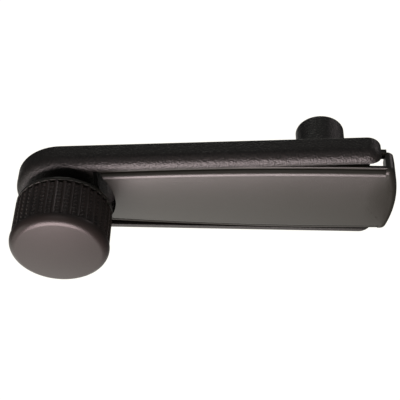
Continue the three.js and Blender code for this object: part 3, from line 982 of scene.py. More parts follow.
@dataclass
class CrankArm(SubAssembly):
    """The moulded arm with its hub, pedestal and ribbed tray, and the splined bush in the hub."""

    corner_radius: float = 5.0
    edge_radius: float = 3.7
    edge_segments: int = 10
    rear_edge_radius: float = 0.4
    rear_edge_segments: int = 2
    hub_radius: float = 8.5
    hub_rise: float = 1.5
    hub_bore: float = 6.5
    web_rear: float = 22.4
    web_front: float = 23.8
    ledge_width: float = 2.4
    pocket_x: float = -77.18
    pocket_end_x: float = -68.7
    pocket_step: float = 0.03
    rib_offset: float = 5.2
    rib_thickness: float = 1.6
    rib_height: float = 3.1
    cross_rib_shares: tuple[float, ...] = (0.25, 0.5, 0.75)
    pedestal_radius: float = 9.3
    shank_hole: float = 3.8
    rivet_well: float = 6.3
    rivet_well_front: float = 24.9
    screw_hole: float = 2.8
    screw_well: float = 6.8
    pin_hole: float = 1.3
    pin_reach: float = 2.6
    insert_radius: float = 6.2
    insert_front: float = 22.1
    spline_root: float = 4.7
    spline_tip: float = 4.2
    spline_count: int = 24
    corners_per_spline: int = 4
    tip_corners: tuple[int, ...] = (0, 1)
    socket_end: float = 19.1
    overrun: float = 1.5

    def build(self) -> None:
        """Make the arm and its bush."""
        arm = self.plate()
        self.hollow(arm)
        self.stiffen(arm)
        self.bore(arm)
        merge_flat_faces(arm)
        self.hand_over(arm, "crank_arm", Slot.ARM_PLASTIC)
        self.hand_over(self.insert(), "hub_insert", Slot.SINTERED_STEEL)

    def plate(self) -> Piece:
        """Make the arm's solid plate, with its rounded front rim.

        Returns:
            The plate.
        """
        lay = self.layout
        levels = (lay.arm_rear, lay.arm_front)
        corner_x = lay.arm_reach - self.corner_radius
        corner_z = lay.half_width(corner_x, self.corner_radius)
        plate = post(lay.knob_end_radius, levels, Facets.KNOB, lay.knob_x)
        corners = [
            post(self.corner_radius, levels, Facets.SPINDLE, corner_x, side * corner_z) for side in (1, -1)
        ]
        activate(plate)
        for corner in corners:
            corner.select_set(True)
        bpy.ops.object.join()
        edit_all(plate)
        bpy.ops.mesh.convex_hull()
        leave_edit()
        merge_flat_faces(plate)
        for level, radius, segments in (
            (lay.arm_front, self.edge_radius, self.edge_segments),
            (lay.arm_rear, self.rear_edge_radius, self.rear_edge_segments),
        ):
            bevel(plate, lambda a, b, y=-level: near(a.y, y) and near(b.y, y), radius, segments)
        return plate

    def hollow(self, arm: Piece) -> None:
        """Cut the tray, the rebate for the cover, the hinge pocket and the end notch.

        Args:
            arm: The arm.
        """
        lay = self.layout
        end = lay.arm_reach + self.overrun
        front = lay.arm_front + self.overrun
        notch = lay.half_width(lay.arm_reach, lay.rim_width)
        deep = (lay.tray_level, front)
        cut(
            arm,
            lay.strip((self.pocket_end_x - lay.sink, end), deep, lay.rim_width + self.ledge_width),
            lay.strip((self.pocket_x, end), (lay.ledge_level, front), lay.rim_width),
            lay.strip((self.pocket_x, self.pocket_end_x), deep, lay.rim_width + self.pocket_step),
            block((lay.floor_reach, end), (lay.arm_rear - self.overrun, front), (-notch, notch)),
        )

    def stiffen(self, arm: Piece) -> None:
        """Join the hub, the pedestal under the knob and the ribs of the tray.

        Args:
            arm: The arm.
        """
        lay = self.layout
        hub_front = lay.tray_level + self.hub_rise
        hub = turned([
            (0, 0), *eased(self.hub_radius, 0, lay.ease), (self.hub_radius, hub_front), (0, hub_front),
        ], Facets.HUB)
        foot, top = lay.arm_front - lay.sink, lay.pedestal_top
        pedestal = turned([
            (0, foot), (self.pedestal_radius, foot),
            *eased(self.pedestal_radius, top, lay.ease, front=True), (0, top),
        ], Facets.HUB, lay.knob_x)
        half = self.rib_thickness / 2
        levels = (lay.tray_level - lay.sink, lay.tray_level + self.rib_height)
        start, end = self.pocket_end_x, lay.sink - self.hub_radius
        long_ribs = [
            block((start, end), levels, (side * self.rib_offset - half, side * self.rib_offset + half))
            for side in (1, -1)
        ]
        inset = lay.rim_width + self.ledge_width - lay.sink
        cross_ribs = []
        for share in self.cross_rib_shares:
            x = start + (end - start) * share
            cross_ribs.append(lay.strip((x - half, x + half), levels, inset))
        join(arm, hub, pedestal, *long_ribs, *cross_ribs)

    def bore(self, arm: Piece) -> None:
        """Cut the holes for the bush, the screw, the knob's spindle and the hinge pins.

        Args:
            arm: The arm.
        """
        lay = self.layout
        front = lay.pedestal_top + self.overrun
        rear = lay.arm_rear - self.overrun
        wall = lay.half_width(lay.hinge_x, lay.rim_width)
        reach = (wall - self.overrun, wall + self.pin_reach)
        cut(
            arm,
            post(self.hub_bore, (-self.overrun, self.web_rear), Facets.HUB),
            post(self.screw_well, (self.web_front, front), Facets.HUB),
            post(self.screw_hole, (self.web_rear - self.overrun, front), Facets.PIN),
            post(self.shank_hole, (rear, front), Facets.PIN, lay.knob_x),
            post(self.rivet_well, (rear, self.rivet_well_front), Facets.SPINDLE, lay.knob_x),
            rod(self.pin_hole, reach, lay.hinge_x, lay.hinge_level),
            rod(self.pin_hole, (-reach[1], -reach[0]), lay.hinge_x, lay.hinge_level),
        )

    def insert(self) -> Piece:
        """Make the metal bush with its splines.

        Returns:
            The bush.
        """
        lay = self.layout
        rear = lay.gap
        bush = turned([
            (0, rear), (self.insert_radius - lay.ease, rear), (self.insert_radius, rear + lay.ease),
            (self.insert_radius, self.insert_front), (0, self.insert_front),
        ], Facets.HUB)
        corners = self.corners_per_spline * self.spline_count
        socket = post(self.spline_root, (-self.overrun, self.socket_end), corners)
        step = 2 * math.pi / corners

        def on_tip(point: Vector) -> bool:
            """Tell the corners at a spline's tip from those at its root."""
            column = round(math.atan2(point.z, point.x) / step) % self.corners_per_spline
            return column in self.tip_corners

        pick(socket, on_tip)
        share = self.spline_tip / self.spline_root
        stretch((share, 1, share), (0, 0, 0))
        hole = (self.socket_end - lay.clear, self.insert_front + lay.clear)
        return cut(bush, socket, post(self.screw_hole, hole, Facets.PIN))


@dataclass
class ScrewSet(SubAssembly):
    """The fixing screw with its two washers, under the cover.

    Each point of the head's rounded edge is a distance inside its radius and one behind its front.
    """

    screw_radius: float = 2.5
    screw_tip: float = 15.1
    tip_flat_inset: float = 0.6
    tip_height: float = 0.4
    plain_length: float = 3.0
    thread_pitch: float = 0.8
    thread_depth: float = 0.35
    head_radius: float = 4.6
    head_rear: float = 26.9
    head_height: float = 2.2
    head_ease: float = 0.15
    head_edge: tuple[Span, ...] = ((0.0, 1.0), (0.15, 0.6), (0.45, 0.25), (0.8, 0.1), (1.4, 0.0))
    recess_width: float = 1.1
    recess_span: float = 5.0
    recess_depth: float = 1.6
    hole_radius: float = 2.8
    washer_radius: float = 6.2
    washer_levels: Span = (24.1, 25.1)
    washer_ease: float = 0.12
    lock_radius: float = 4.7
    lock_levels: Span = (25.4, 26.6)
    lock_split: float = 0.9
    lock_ease: float = 0.1

    def build(self) -> None:
        """Make the screw and the washers."""
        washer = ring((self.hole_radius, self.washer_radius), self.washer_levels, Facets.WASHER)
        soften(washer, self.washer_ease)
        self.hand_over(washer, "plain_washer", Slot.PLATED_STEEL)
        self.hand_over(self.lock_washer(), "lock_washer", Slot.STEEL)
        self.hand_over(self.screw(), "fixing_screw", Slot.PLATED_STEEL)

    def lock_washer(self) -> Piece:
        """Make the split spring washer.

        Returns:
            The washer.
        """
        washer = ring((self.hole_radius, self.lock_radius), self.lock_levels, Facets.WASHER)
        rear, front = self.lock_levels
        half, clear = self.lock_split / 2, self.layout.clear
        cut(washer, block((0, self.lock_radius + clear), (rear - clear, front + clear), (-half, half)))
        soften(washer, self.lock_ease)
        return washer

    def screw(self) -> Piece:
        """Make the pan-headed screw, its thread as fine rings and its recess as a cross.

        Returns:
            The screw.
        """
        profile = [(0, self.screw_tip), (self.screw_radius - self.tip_flat_inset, self.screw_tip)]
        level = self.screw_tip + self.tip_height
        while level + self.thread_pitch < self.head_rear - self.plain_length:
            profile.append((self.screw_radius, level))
            profile.append((self.screw_radius - self.thread_depth, level + self.thread_pitch / 2))
            level += self.thread_pitch
        front = self.head_rear + self.head_height
        profile += [
            (self.screw_radius, level), (self.screw_radius, self.head_rear),
            (self.head_radius - self.head_ease, self.head_rear),
            (self.head_radius, self.head_rear + self.head_ease),
            *((self.head_radius - inside, front - behind) for inside, behind in self.head_edge),
            (0, front),
        ]
        screw = turned(profile, Facets.PIN)
        wide, narrow = self.recess_span / 2, self.recess_width / 2
        levels = (front - self.recess_depth, front + self.layout.clear)
        return cut(
            screw,
            block((-wide, wide), levels, (-narrow, narrow)),
            block((-narrow, narrow), levels, (-wide, wide)),
        )


@dataclass
class KnobPin(SubAssembly):
    """The riveted spindle that the knob turns on, with what lies on it."""

    tail_level: float = 22.4
    rivet_radius: float = 4.8
    rivet_front: float = 23.3
    rivet_ease: float = 0.6
    rivet_dip: float = 0.17
    dimple_radii: Span = (0.2, 0.9)
    dimple_depth: float = 0.35
    shank_radius: float = 3.5
    journal_radius: float = 3.2
    collar_radius: float = 6.0
    collar_levels: Span = (34.4, 35.4)
    collar_ease: float = 0.15
    groove_radius: float = 2.3
    groove_levels: Span = (48.7, 50.1)
    tip_level: float = 51.2
    backing_radii: Span = (3.8, 6.0)
    backing_levels: Span = (23.6, 24.6)
    backing_ease: float = 0.1
    thrust_radii: Span = (3.5, 6.5)
    thrust_levels: Span = (35.7, 36.3)
    thrust_ease: float = 0.08
    wave_radii: Span = (3.5, 5.8)
    wave_levels: Span = (47.9, 48.2)
    wave_lift: float = 0.5
    wave_count: int = 3
    clip_radii: Span = (2.6, 5.2)
    clip_levels: Span = (49.0, 49.8)
    clip_mouth: float = 3.2
    clip_ease: float = 0.08

    def build(self) -> None:
        """Make the spindle, its three washers and its snap ring."""
        knob_x = self.layout.knob_x
        self.hand_over(self.spindle(), "knob_spindle", Slot.STEEL)
        backing = ring(self.backing_radii, self.backing_levels, Facets.SPINDLE, knob_x)
        soften(backing, self.backing_ease)
        self.hand_over(backing, "spindle_backing_washer", Slot.STEEL)
        thrust = ring(self.thrust_radii, self.thrust_levels, Facets.SPINDLE, knob_x)
        soften(thrust, self.thrust_ease)
        self.hand_over(thrust, "thrust_washer", Slot.ACETAL)
        self.hand_over(self.wave_washer(), "wave_washer", Slot.STEEL)
        self.hand_over(self.snap_ring(), "retaining_ring", Slot.STEEL)

    def spindle(self) -> Piece:
        """Make the spindle, with its riveted tail, collar, journal and groove.

        Returns:
            The spindle.
        """
        tail, rivet, journal = self.tail_level, self.rivet_radius, self.journal_radius
        collar_rear, collar_front = self.collar_levels
        groove_rear, groove_front = self.groove_levels
        dimple_floor, dimple_mouth = self.dimple_radii
        tip, ease = self.tip_level, self.layout.ease
        return turned([
            (0, tail + self.dimple_depth), (dimple_floor, tail + self.dimple_depth), (dimple_mouth, tail),
            (rivet - self.rivet_ease, tail), (rivet - self.rivet_dip, tail + self.rivet_dip),
            (rivet, tail + self.rivet_ease), (rivet, self.rivet_front),
            (self.shank_radius, self.rivet_front), (self.shank_radius, collar_rear),
            (self.collar_radius - self.collar_ease, collar_rear),
            (self.collar_radius, collar_rear + self.collar_ease),
            (self.collar_radius, collar_front - self.collar_ease),
            (self.collar_radius - self.collar_ease, collar_front),
            (journal, collar_front), (journal, groove_rear),
            (self.groove_radius, groove_rear), (self.groove_radius, groove_front),
            (journal, groove_front), (journal, tip - ease), (journal - ease, tip), (0, tip),
        ], Facets.SPINDLE, self.layout.knob_x)

    def wave_washer(self) -> Piece:
        """Make the wavy spring washer.

        Returns:
            The washer.
        """
        washer = ring(self.wave_radii, self.wave_levels, Facets.HUB, self.layout.knob_x)
        for point in washer.data.vertices:
            angle = math.atan2(point.co.z, point.co.x - self.layout.knob_x)
            point.co.y -= self.wave_lift * (1 + math.sin(angle * self.wave_count)) / 2
        return washer

    def snap_ring(self) -> Piece:
        """Make the snap ring with its open mouth.

        Returns:
            The ring.
        """
        rear, front = self.clip_levels
        half, knob_x, clear = self.clip_mouth / 2, self.layout.knob_x, self.layout.clear
        mouth_end = knob_x + self.clip_radii[1] + clear
        clip = ring(self.clip_radii, self.clip_levels, Facets.SPINDLE, knob_x)
        cut(clip, block((knob_x, mouth_end), (rear - clear, front + clear), (-half, half)))
        soften(clip, self.clip_ease)
        return clip


@dataclass
class Knob(SubAssembly):
    """The turning knob: core with its lip, bush, ribbed grip sleeve and cap."""

    bore_radius: float = 5.3
    hub_outer: float = 7.2
    web_levels: Span = (36.6, 38.0)
    hub_front: float = 46.5
    recess_radius: float = 7.2
    lip_radius: float = 16.2
    lip_levels: Span = (35.2, 36.5)
    rim_radius: float = 14.3
    rim_inner: float = 12.4
    rib_count: int = 6
    rib_height: float = 5.0
    rib_thickness: float = 1.4
    bush_inner: float = 3.5
    bush_radius: float = 5.0
    bush_flange: Span = (46.8, 47.6)
    bush_flange_radius: float = 6.2
    sleeve_levels: Span = (36.8, 50.5)
    sleeve_bore: float = 14.6
    valley_radius: float = 15.5
    crest_radius: float = 16.25
    grip_rib_count: int = 36
    columns_per_rib: int = 8
    rib_columns: tuple[int, ...] = (0, 1, 2)
    pip_columns: tuple[int, ...] = (4, 5, 6)
    pip_rows: int = 8
    pip_margin: float = 0.5
    pip_height: float = 0.62
    pip_foot_shares: Span = (0.05, 0.82)
    pip_crest_shares: Span = (0.28, 0.59)
    sleeve_ease: float = 0.15
    sleeve_sharp_angle: float = 60.0
    cap_radius: float = 16.5
    cap_rear: float = 50.8
    cap_band: float = 0.2
    cap_edge: float = 3.2
    cap_slope: float = 9.5
    cap_wall: float = 2.0
    cap_edge_steps: int = 12
    cap_crown_shares: tuple[float, ...] = (0.1, 0.25, 0.4, 0.55, 0.7, 0.85)
    skirt_outer: float = 12.1
    skirt_inner: float = 10.8
    skirt_rear: float = 45.8

    def build(self) -> None:
        """Make the four pieces of the knob."""
        self.hand_over(self.core(), "knob_core", Slot.COVER_PLASTIC)
        self.hand_over(self.bush(), "knob_bush", Slot.ACETAL)
        self.hand_over(self.sleeve(), "grip_sleeve", Slot.GRIP_RUBBER, self.sleeve_sharp_angle)
        self.hand_over(self.cap(), "knob_cap", Slot.COVER_PLASTIC)

    def core(self) -> Piece:
        """Make the core: lip, rim, web and ribbed hub.

        Returns:
            The core.
        """
        knob_x, sink, ease = self.layout.knob_x, self.layout.sink, self.layout.ease
        web_rear, web_front = self.web_levels
        lip_rear, lip_front = self.lip_levels
        rim_front = self.sleeve_levels[1]
        core = turned([
            (self.bore_radius, web_rear), (self.recess_radius, web_rear),
            (self.recess_radius + ease, lip_rear),
            *eased(self.lip_radius, lip_rear, ease), *eased(self.lip_radius, lip_front, ease, front=True),
            (self.rim_radius, lip_front), (self.rim_radius, rim_front),
            (self.rim_inner, rim_front), (self.rim_inner, web_front),
            (self.hub_outer, web_front), (self.hub_outer, self.hub_front),
            (self.bore_radius, self.hub_front),
        ], Facets.KNOB, knob_x)
        half = self.rib_thickness / 2
        for index in range(self.rib_count):
            rib = block(
                (knob_x + self.hub_outer - sink, knob_x + self.rim_inner + sink),
                (web_front - sink, web_front + self.rib_height),
                (-half, half),
            )
            swing(rib, 2 * math.pi * index / self.rib_count, "Y", (knob_x, 0, 0))
            join(core, rib)
        return core

    def bush(self) -> Piece:
        """Make the flanged bearing bush.

        Returns:
            The bush.
        """
        rear = self.web_levels[0]
        flange_rear, flange_front = self.bush_flange
        return turned([
            (self.bush_inner, rear), (self.bush_radius, rear),
            (self.bush_radius, flange_rear), (self.bush_flange_radius, flange_rear),
            (self.bush_flange_radius, flange_front), (self.bush_inner, flange_front),
        ], Facets.SPINDLE, self.layout.knob_x)

    def sleeve(self) -> Piece:
        """Make the grip: ribs along the axis with a row of small pips in each valley.

        Returns:
            The sleeve.
        """
        rear, front = self.sleeve_levels
        pitch = (front - rear - 2 * self.pip_margin) / self.pip_rows
        feet, crests = [], []
        for row in range(self.pip_rows):
            start = rear + self.pip_margin + row * pitch
            feet += [start + share * pitch for share in self.pip_foot_shares]
            crests += [start + share * pitch for share in self.pip_crest_shares]
        levels = sorted([rear, rear + self.sleeve_ease, *feet, *crests, front - self.sleeve_ease, front])
        sides = self.grip_rib_count * self.columns_per_rib
        skin = [(self.valley_radius, level) for level in levels]
        sleeve = turned([
            (self.sleeve_bore, rear), *skin, (self.sleeve_bore, front),
        ], sides, self.layout.knob_x)
        step = 2 * math.pi / sides
        middle = (self.sleeve_bore + self.valley_radius) / 2

        def column(point: Vector) -> int:
            """Count a vertex's column from the start of its rib."""
            return round(math.atan2(point.z, point.x - self.layout.knob_x) / step) % self.columns_per_rib

        def on_skin(point: Vector) -> bool:
            """Tell the outer skin from the bore."""
            return math.hypot(point.x - self.layout.knob_x, point.z) > middle

        pick(sleeve, lambda point: on_skin(point) and column(point) in self.rib_columns)
        self.spread(self.crest_radius / self.valley_radius)
        pick(sleeve, lambda point: (
            on_skin(point) and column(point) in self.pip_columns
            and any(near(-point.y, level) for level in crests)
        ))
        self.spread((self.valley_radius + self.pip_height) / self.valley_radius)
        modifier = sleeve.modifiers.new("rounded", "SUBSURF")
        modifier.levels = modifier.render_levels = 1
        activate(sleeve)
        bpy.ops.object.modifier_apply(modifier=modifier.name)
        return sleeve

    def spread(self, share: float) -> None:
        """Move what is picked away from the knob's axis."""
        stretch((share, 1, share), (self.layout.knob_x, 0, 0))

    def cap(self) -> Piece:
        """Make the cap, with its rounded edge, low crown and skirt.

        Returns:
            The cap.
        """
        slope = math.radians(self.cap_slope)
        edge = []
        for step in range(self.cap_edge_steps + 1):
            turn = slope + (math.pi / 2 - slope) * step / self.cap_edge_steps
            edge.append((
                self.cap_radius - self.cap_edge * (1 - math.sin(turn)),
                self.cap_rear + self.cap_band + self.cap_edge * math.cos(turn),
            ))
        face, front = edge[0]
        crown_height = face * math.tan(slope) / 2
        crown = [
            (face * share, front + crown_height * (1 - share ** 2)) for share in self.cap_crown_shares
        ]
        ceiling = self.cap_rear + self.cap_band + self.cap_edge - self.cap_wall
        return turned([
            (0, front + crown_height), *crown, *edge,
            (self.cap_radius, self.cap_rear), (self.skirt_outer, self.cap_rear),
            (self.skirt_outer, self.skirt_rear), (self.skirt_inner, self.skirt_rear),
            (self.skirt_inner, ceiling), (0, ceiling),
        ], Facets.KNOB, self.layout.knob_x)


@dataclass
class ArmCover(SubAssembly):
    """The hinged cover: flange, raised panel, end wall, hooks, ribs, lugs and pins.

    The beyond values and the overruns lie outside the cover: shapes that cut it reach to them.
    """

    body: Body = Body.COVER
    widest_x: float = 0.0
    side_inset: float = 4.6
    hinge_inset: float = 4.8
    start_x: float = -104.0
    wall_start: float = 19.1
    reach: float = 23.95
    end_radius: float = 50.0
    end_corner: float = 2.3
    end_edge: float = 2.2
    corner_rounds: int = 8
    arc_steps: int = 10
    side_steps: int = 26
    edge_steps: int = 8
    flange_levels: Span = (28.7, 29.7)
    flange_strip: float = 0.75
    flange_edge: float = 0.2
    flange_stations: int = 18
    groove_depth: float = 0.5
    panel_front: float = 31.0
    panel_inset: float = 1.3
    panel_edge: float = 2.0
    panel_crown: float = 0.9
    crown_run: float = 9.0
    crown_shares: tuple[float, ...] = (0.92, 0.84, 0.74, 0.62, 0.5, 0.38, 0.24, 0.1)
    shell: float = 1.5
    wall_rear: float = 22.6
    wall_thickness: float = 2.4
    tip_x: float = -76.0
    scoop_radius: float = 17.1
    rib_thickness: float = 1.2
    rib_height: float = 1.1
    rib_shares: tuple[float, ...] = (0.18, 0.38, 0.58, 0.92)
    rib_span: Span = (-68.7, 15.0)
    lug_radius: float = 2.0
    lug_thickness: float = 2.1
    lug_inset: float = 0.4
    pin_radius: float = 1.0
    pin_length: float = 2.3
    hook_width: float = 3.1
    hook_outset: float = 0.5
    hook_span: Span = (15.7, 19.7)
    hook_levels: Span = (21.8, 23.3)
    beyond_x: Span = (-90.0, 40.0)
    beyond_side: float = 20.0
    beyond_arc: float = 60.0
    beyond_front: float = 35.0
    end_overrun: float = 3.0
    front_overrun: float = 2.0
    rear_overrun: float = 1.5
    hollow_overlap_x: float = -20.0

    def half_width(self, x: float, inset: float = 0.0) -> float:
        """Measure half the cover's width at x, less an inset.

        Args:
            x: The place along the arm.
            inset: How far inside the cover's edge.

        Returns:
            Half the width there.
        """
        lay = self.layout
        widest = lay.half_width(self.widest_x, self.side_inset)
        at_hinge = lay.half_width(lay.hinge_x, self.hinge_inset)
        along = (x - self.widest_x) / (self.widest_x - lay.hinge_x)
        return widest - (widest - at_hinge) * along ** 2 - inset

    def corners(self, start: float, inset: float, side_edge: float) -> list[tuple[Vector, Vector, float]]:
        """List the outline of a plate that ends in the wide arc, from the lower edge round to the upper.

        Args:
            start: Where the plate starts along X.
            inset: How far it stays inside the cover's edge.
            side_edge: Radius of its front edge along the sides.

        Returns:
            For each corner its plan point, the way out of the plate and the radius of its front edge.
        """
        centre = self.reach - self.end_radius
        inner = self.end_radius - self.end_corner
        corner_x, corner_z = self.reach - self.end_corner, 0.0
        # The corner's place and the width there depend on each other and settle in a few rounds.
        for _ in range(self.corner_rounds):
            corner_z = self.half_width(corner_x, inset) - self.end_corner
            corner_x = centre + math.sqrt(inner ** 2 - corner_z ** 2)
        end_angle = math.asin(corner_z / inner)
        upper = []
        for step in range(self.arc_steps + 1):
            angle = end_angle * step / self.arc_steps
            out = Vector((math.cos(angle), math.sin(angle)))
            upper.append((Vector((centre, 0)) + out * self.end_radius, out, self.end_edge))
        for step in range(1, self.arc_steps + 1):
            share = step / self.arc_steps
            angle = end_angle + (math.pi / 2 - end_angle) * share
            out = Vector((math.cos(angle), math.sin(angle)))
            radius = self.end_edge + (side_edge - self.end_edge) * share
            upper.append((Vector((corner_x, corner_z)) + out * self.end_corner, out, radius))
        side_start = upper[-1][0].x
        for step in range(1, self.side_steps + 1):
            x = side_start + (start - side_start) * (step / self.side_steps) ** 2
            upper.append((Vector((x, self.half_width(x, inset))), Vector((0, 1)), side_edge))
        lower = [
            (Vector((point.x, -point.y)), Vector((out.x, -out.y)), radius)
            for point, out, radius in reversed(upper[1:])
        ]
        return lower + upper

    def plate(
        self, start: float, rear: float, inset: float, side_edge: float, crowned: bool = False,
    ) -> Piece:
        """Make a plate with the wide arc at its end and a rounded front edge.

        Args:
            start: Where it starts along X.
            rear: Level of its rear.
            inset: How far it stays inside the cover's edge.
            side_edge: Radius of its front edge along the sides.
            crowned: Whether its front is crowned.

        Returns:
            The plate.
        """
        corners = self.corners(start, inset, side_edge)
        rings = [[Vector((point.x, -rear, point.y)) for point, _, _ in corners]]
        for step in range(self.edge_steps + 1):
            turn = math.pi / 2 * step / self.edge_steps
            rings.append([
                Vector((
                    point.x - out.x * radius * (1 - math.cos(turn)),
                    -(self.panel_front - radius * (1 - math.sin(turn))),
                    point.y - out.y * radius * (1 - math.cos(turn)),
                ))
                for point, out, radius in corners
            ])
        return lofted(rings + self.crown_rings(rings[-1])) if crowned else lofted(rings)

    def crown_rings(self, rim: list[Vector]) -> list[list[Vector]]:
        """List the rings that carry the panel from its rounded edge up to the middle of its crown.

        Args:
            rim: The ring where the rounded edge ends.

        Returns:
            The rings, from the edge inwards.
        """
        start = self.reach - self.end_edge - self.crown_run
        rings = []
        for share in self.crown_shares:
            outline = []
            for point in rim:
                past = max(0.0, point.x - start) * share
                x = min(point.x, start) + past
                side = abs(point.z) * share / (self.half_width(x, self.panel_inset) - self.panel_edge)
                rise = self.panel_crown * (1 - side ** 2) * (1 - (past / self.crown_run) ** 2)
                outline.append(Vector((x, point.y - rise, point.z * share)))
            rings.append(outline)
        return rings

    def build(self) -> None:
        """Make the cover shut, then swing it to where it rests."""
        lay = self.layout
        across = (-self.beyond_side, self.beyond_side)
        cover = self.flange()
        end_wall = self.plate(lay.floor_reach, self.wall_rear, 0.0, self.end_edge)
        cut(end_wall, block(
            (lay.floor_reach - lay.clear, self.wall_start),
            (self.wall_rear - lay.clear, self.beyond_front),
            across,
        ))
        panel = self.plate(
            self.start_x, self.flange_levels[0], self.panel_inset, self.panel_edge, crowned=True,
        )
        join(cover, panel, end_wall)
        cut(cover, self.hollow())
        join(cover, *self.fittings())
        levels = (lay.arm_rear, lay.pedestal_top + self.front_overrun)
        cut(
            cover,
            post(self.scoop_radius, levels, Facets.SCOOP, lay.knob_x),
            block((self.start_x - self.end_overrun, self.tip_x), levels, across),
        )
        swing(cover, math.radians(lay.rest_angle), "Z", (lay.hinge_x, -lay.hinge_level, 0))
        self.hand_over(cover, "arm_cover", Slot.COVER_PLASTIC)

    def bowed_block(self, span: Span, levels: Span, inset: float = 0.0) -> Piece:
        """Make a block whose sides are bowed like the cover's.

        Args:
            span: Its limits along the arm.
            levels: Its rear and front.
            inset: How far it stays inside the cover's edge.

        Returns:
            The block.
        """
        start, end = span
        piece = block(span, levels, (-1, 1))
        pick_edges(piece, runs_along_x)
        bpy.ops.mesh.subdivide(number_cuts=self.flange_stations - 1)
        leave_edit()
        for station in range(self.flange_stations + 1):
            x = start + (end - start) * station / self.flange_stations
            pick(piece, lambda point, x=x: near(point.x, x))
            stretch((1, 1, self.half_width(x, inset)), (x, 0, 0))
        return piece

    def flange(self) -> Piece:
        """Make the thin flange: bowed sides, and a groove between its outer strip and the panel.

        Returns:
            The flange.
        """
        start, end = self.start_x, self.wall_start + self.layout.sink
        flange = self.bowed_block((start, end), self.flange_levels)
        front = -self.flange_levels[1]
        bevel(flange, lambda a, b: (
            near(a.y, front) and near(b.y, front) and a.z * b.z > 0 and runs_along_x(a, b)
        ), self.flange_edge, segments=2)
        floor = self.flange_levels[1] - self.groove_depth
        span = (start - self.end_overrun, end + self.end_overrun)
        return cut(flange, self.bowed_block(span, (floor, floor + self.front_overrun), self.flange_strip))

    def hollow(self) -> Piece:
        """Make the shape that hollows the cover from behind.

        Returns:
            The shape.
        """
        lay = self.layout
        half = self.half_width(lay.hinge_x, self.panel_inset) - self.shell
        rear, front = lay.arm_rear - self.rear_overrun, self.panel_front - self.shell
        end = self.reach - self.wall_thickness
        hollow = post(self.end_radius, (rear, front), Facets.WIDE_ARC, end - self.end_radius)
        for side in ((half, self.beyond_arc), (-self.beyond_arc, -half)):
            cut(hollow, block(self.beyond_x, (rear - lay.clear, front + lay.clear), side))
        straight = (self.start_x - self.end_overrun, self.hollow_overlap_x)
        return join(hollow, block(straight, (rear, front), (-half, half)))

    def fittings(self) -> list[Piece]:
        """Make the ribs, hinge lugs, hinge pins and hooks.

        Returns:
            The shapes.
        """
        lay = self.layout
        half = self.half_width(lay.hinge_x, self.panel_inset) - self.shell + lay.sink
        inside = self.panel_front - self.shell
        rib_levels = (inside - self.rib_height, inside + lay.sink)
        rib_half = self.rib_thickness / 2
        pieces = []
        for share in self.rib_shares:
            x = self.rib_span[0] + (self.rib_span[1] - self.rib_span[0]) * share
            pieces.append(block((x - rib_half, x + rib_half), rib_levels, (-half, half)))
        outer = self.half_width(lay.hinge_x) - self.lug_inset
        pin_end = lay.half_width(lay.hinge_x, lay.rim_width) + self.pin_length
        hook_outer = self.half_width(lay.arm_reach) + self.hook_outset
        for side in (1, -1):
            lug = sorted((side * (outer - self.lug_thickness), side * outer))
            pin = sorted((side * (outer - lay.sink), side * pin_end))
            hook = sorted((side * (hook_outer - self.hook_width), side * hook_outer))
            pieces += [
                rod(self.lug_radius, lug, lay.hinge_x, lay.hinge_level),
                block(
                    (lay.hinge_x - self.lug_radius, lay.hinge_x + self.lug_radius),
                    (lay.hinge_level, self.flange_levels[0] + lay.sink),
                    lug,
                ),
                rod(self.pin_radius, pin, lay.hinge_x, lay.hinge_level),
                block(self.hook_span, self.hook_levels, hook),
            ]
        return pieces


@dataclass(frozen=True)
class SoftBox:
    """One rectangular area lamp: where it hangs in metres, its size, its power in watts and its tint."""

    name: str
    place: Place
    size: Span
    power: float
    tint: Place

    def hang(self, aim: Place) -> None:
        """Hang the lamp so that it faces a point.

        Args:
            aim: The point.
        """
        data = bpy.data.lights.new(self.name, "AREA")
        data.shape = "RECTANGLE"
        data.size, data.size_y = self.size
        data.energy = self.power
        data.color = self.tint
        lamp = bpy.data.objects.new(self.name, data)
        bpy.context.scene.collection.objects.link(lamp)
        lamp.location = self.place
        lamp.rotation_euler = (Vector(aim) - Vector(self.place)).to_track_quat("-Z", "Y").to_euler()


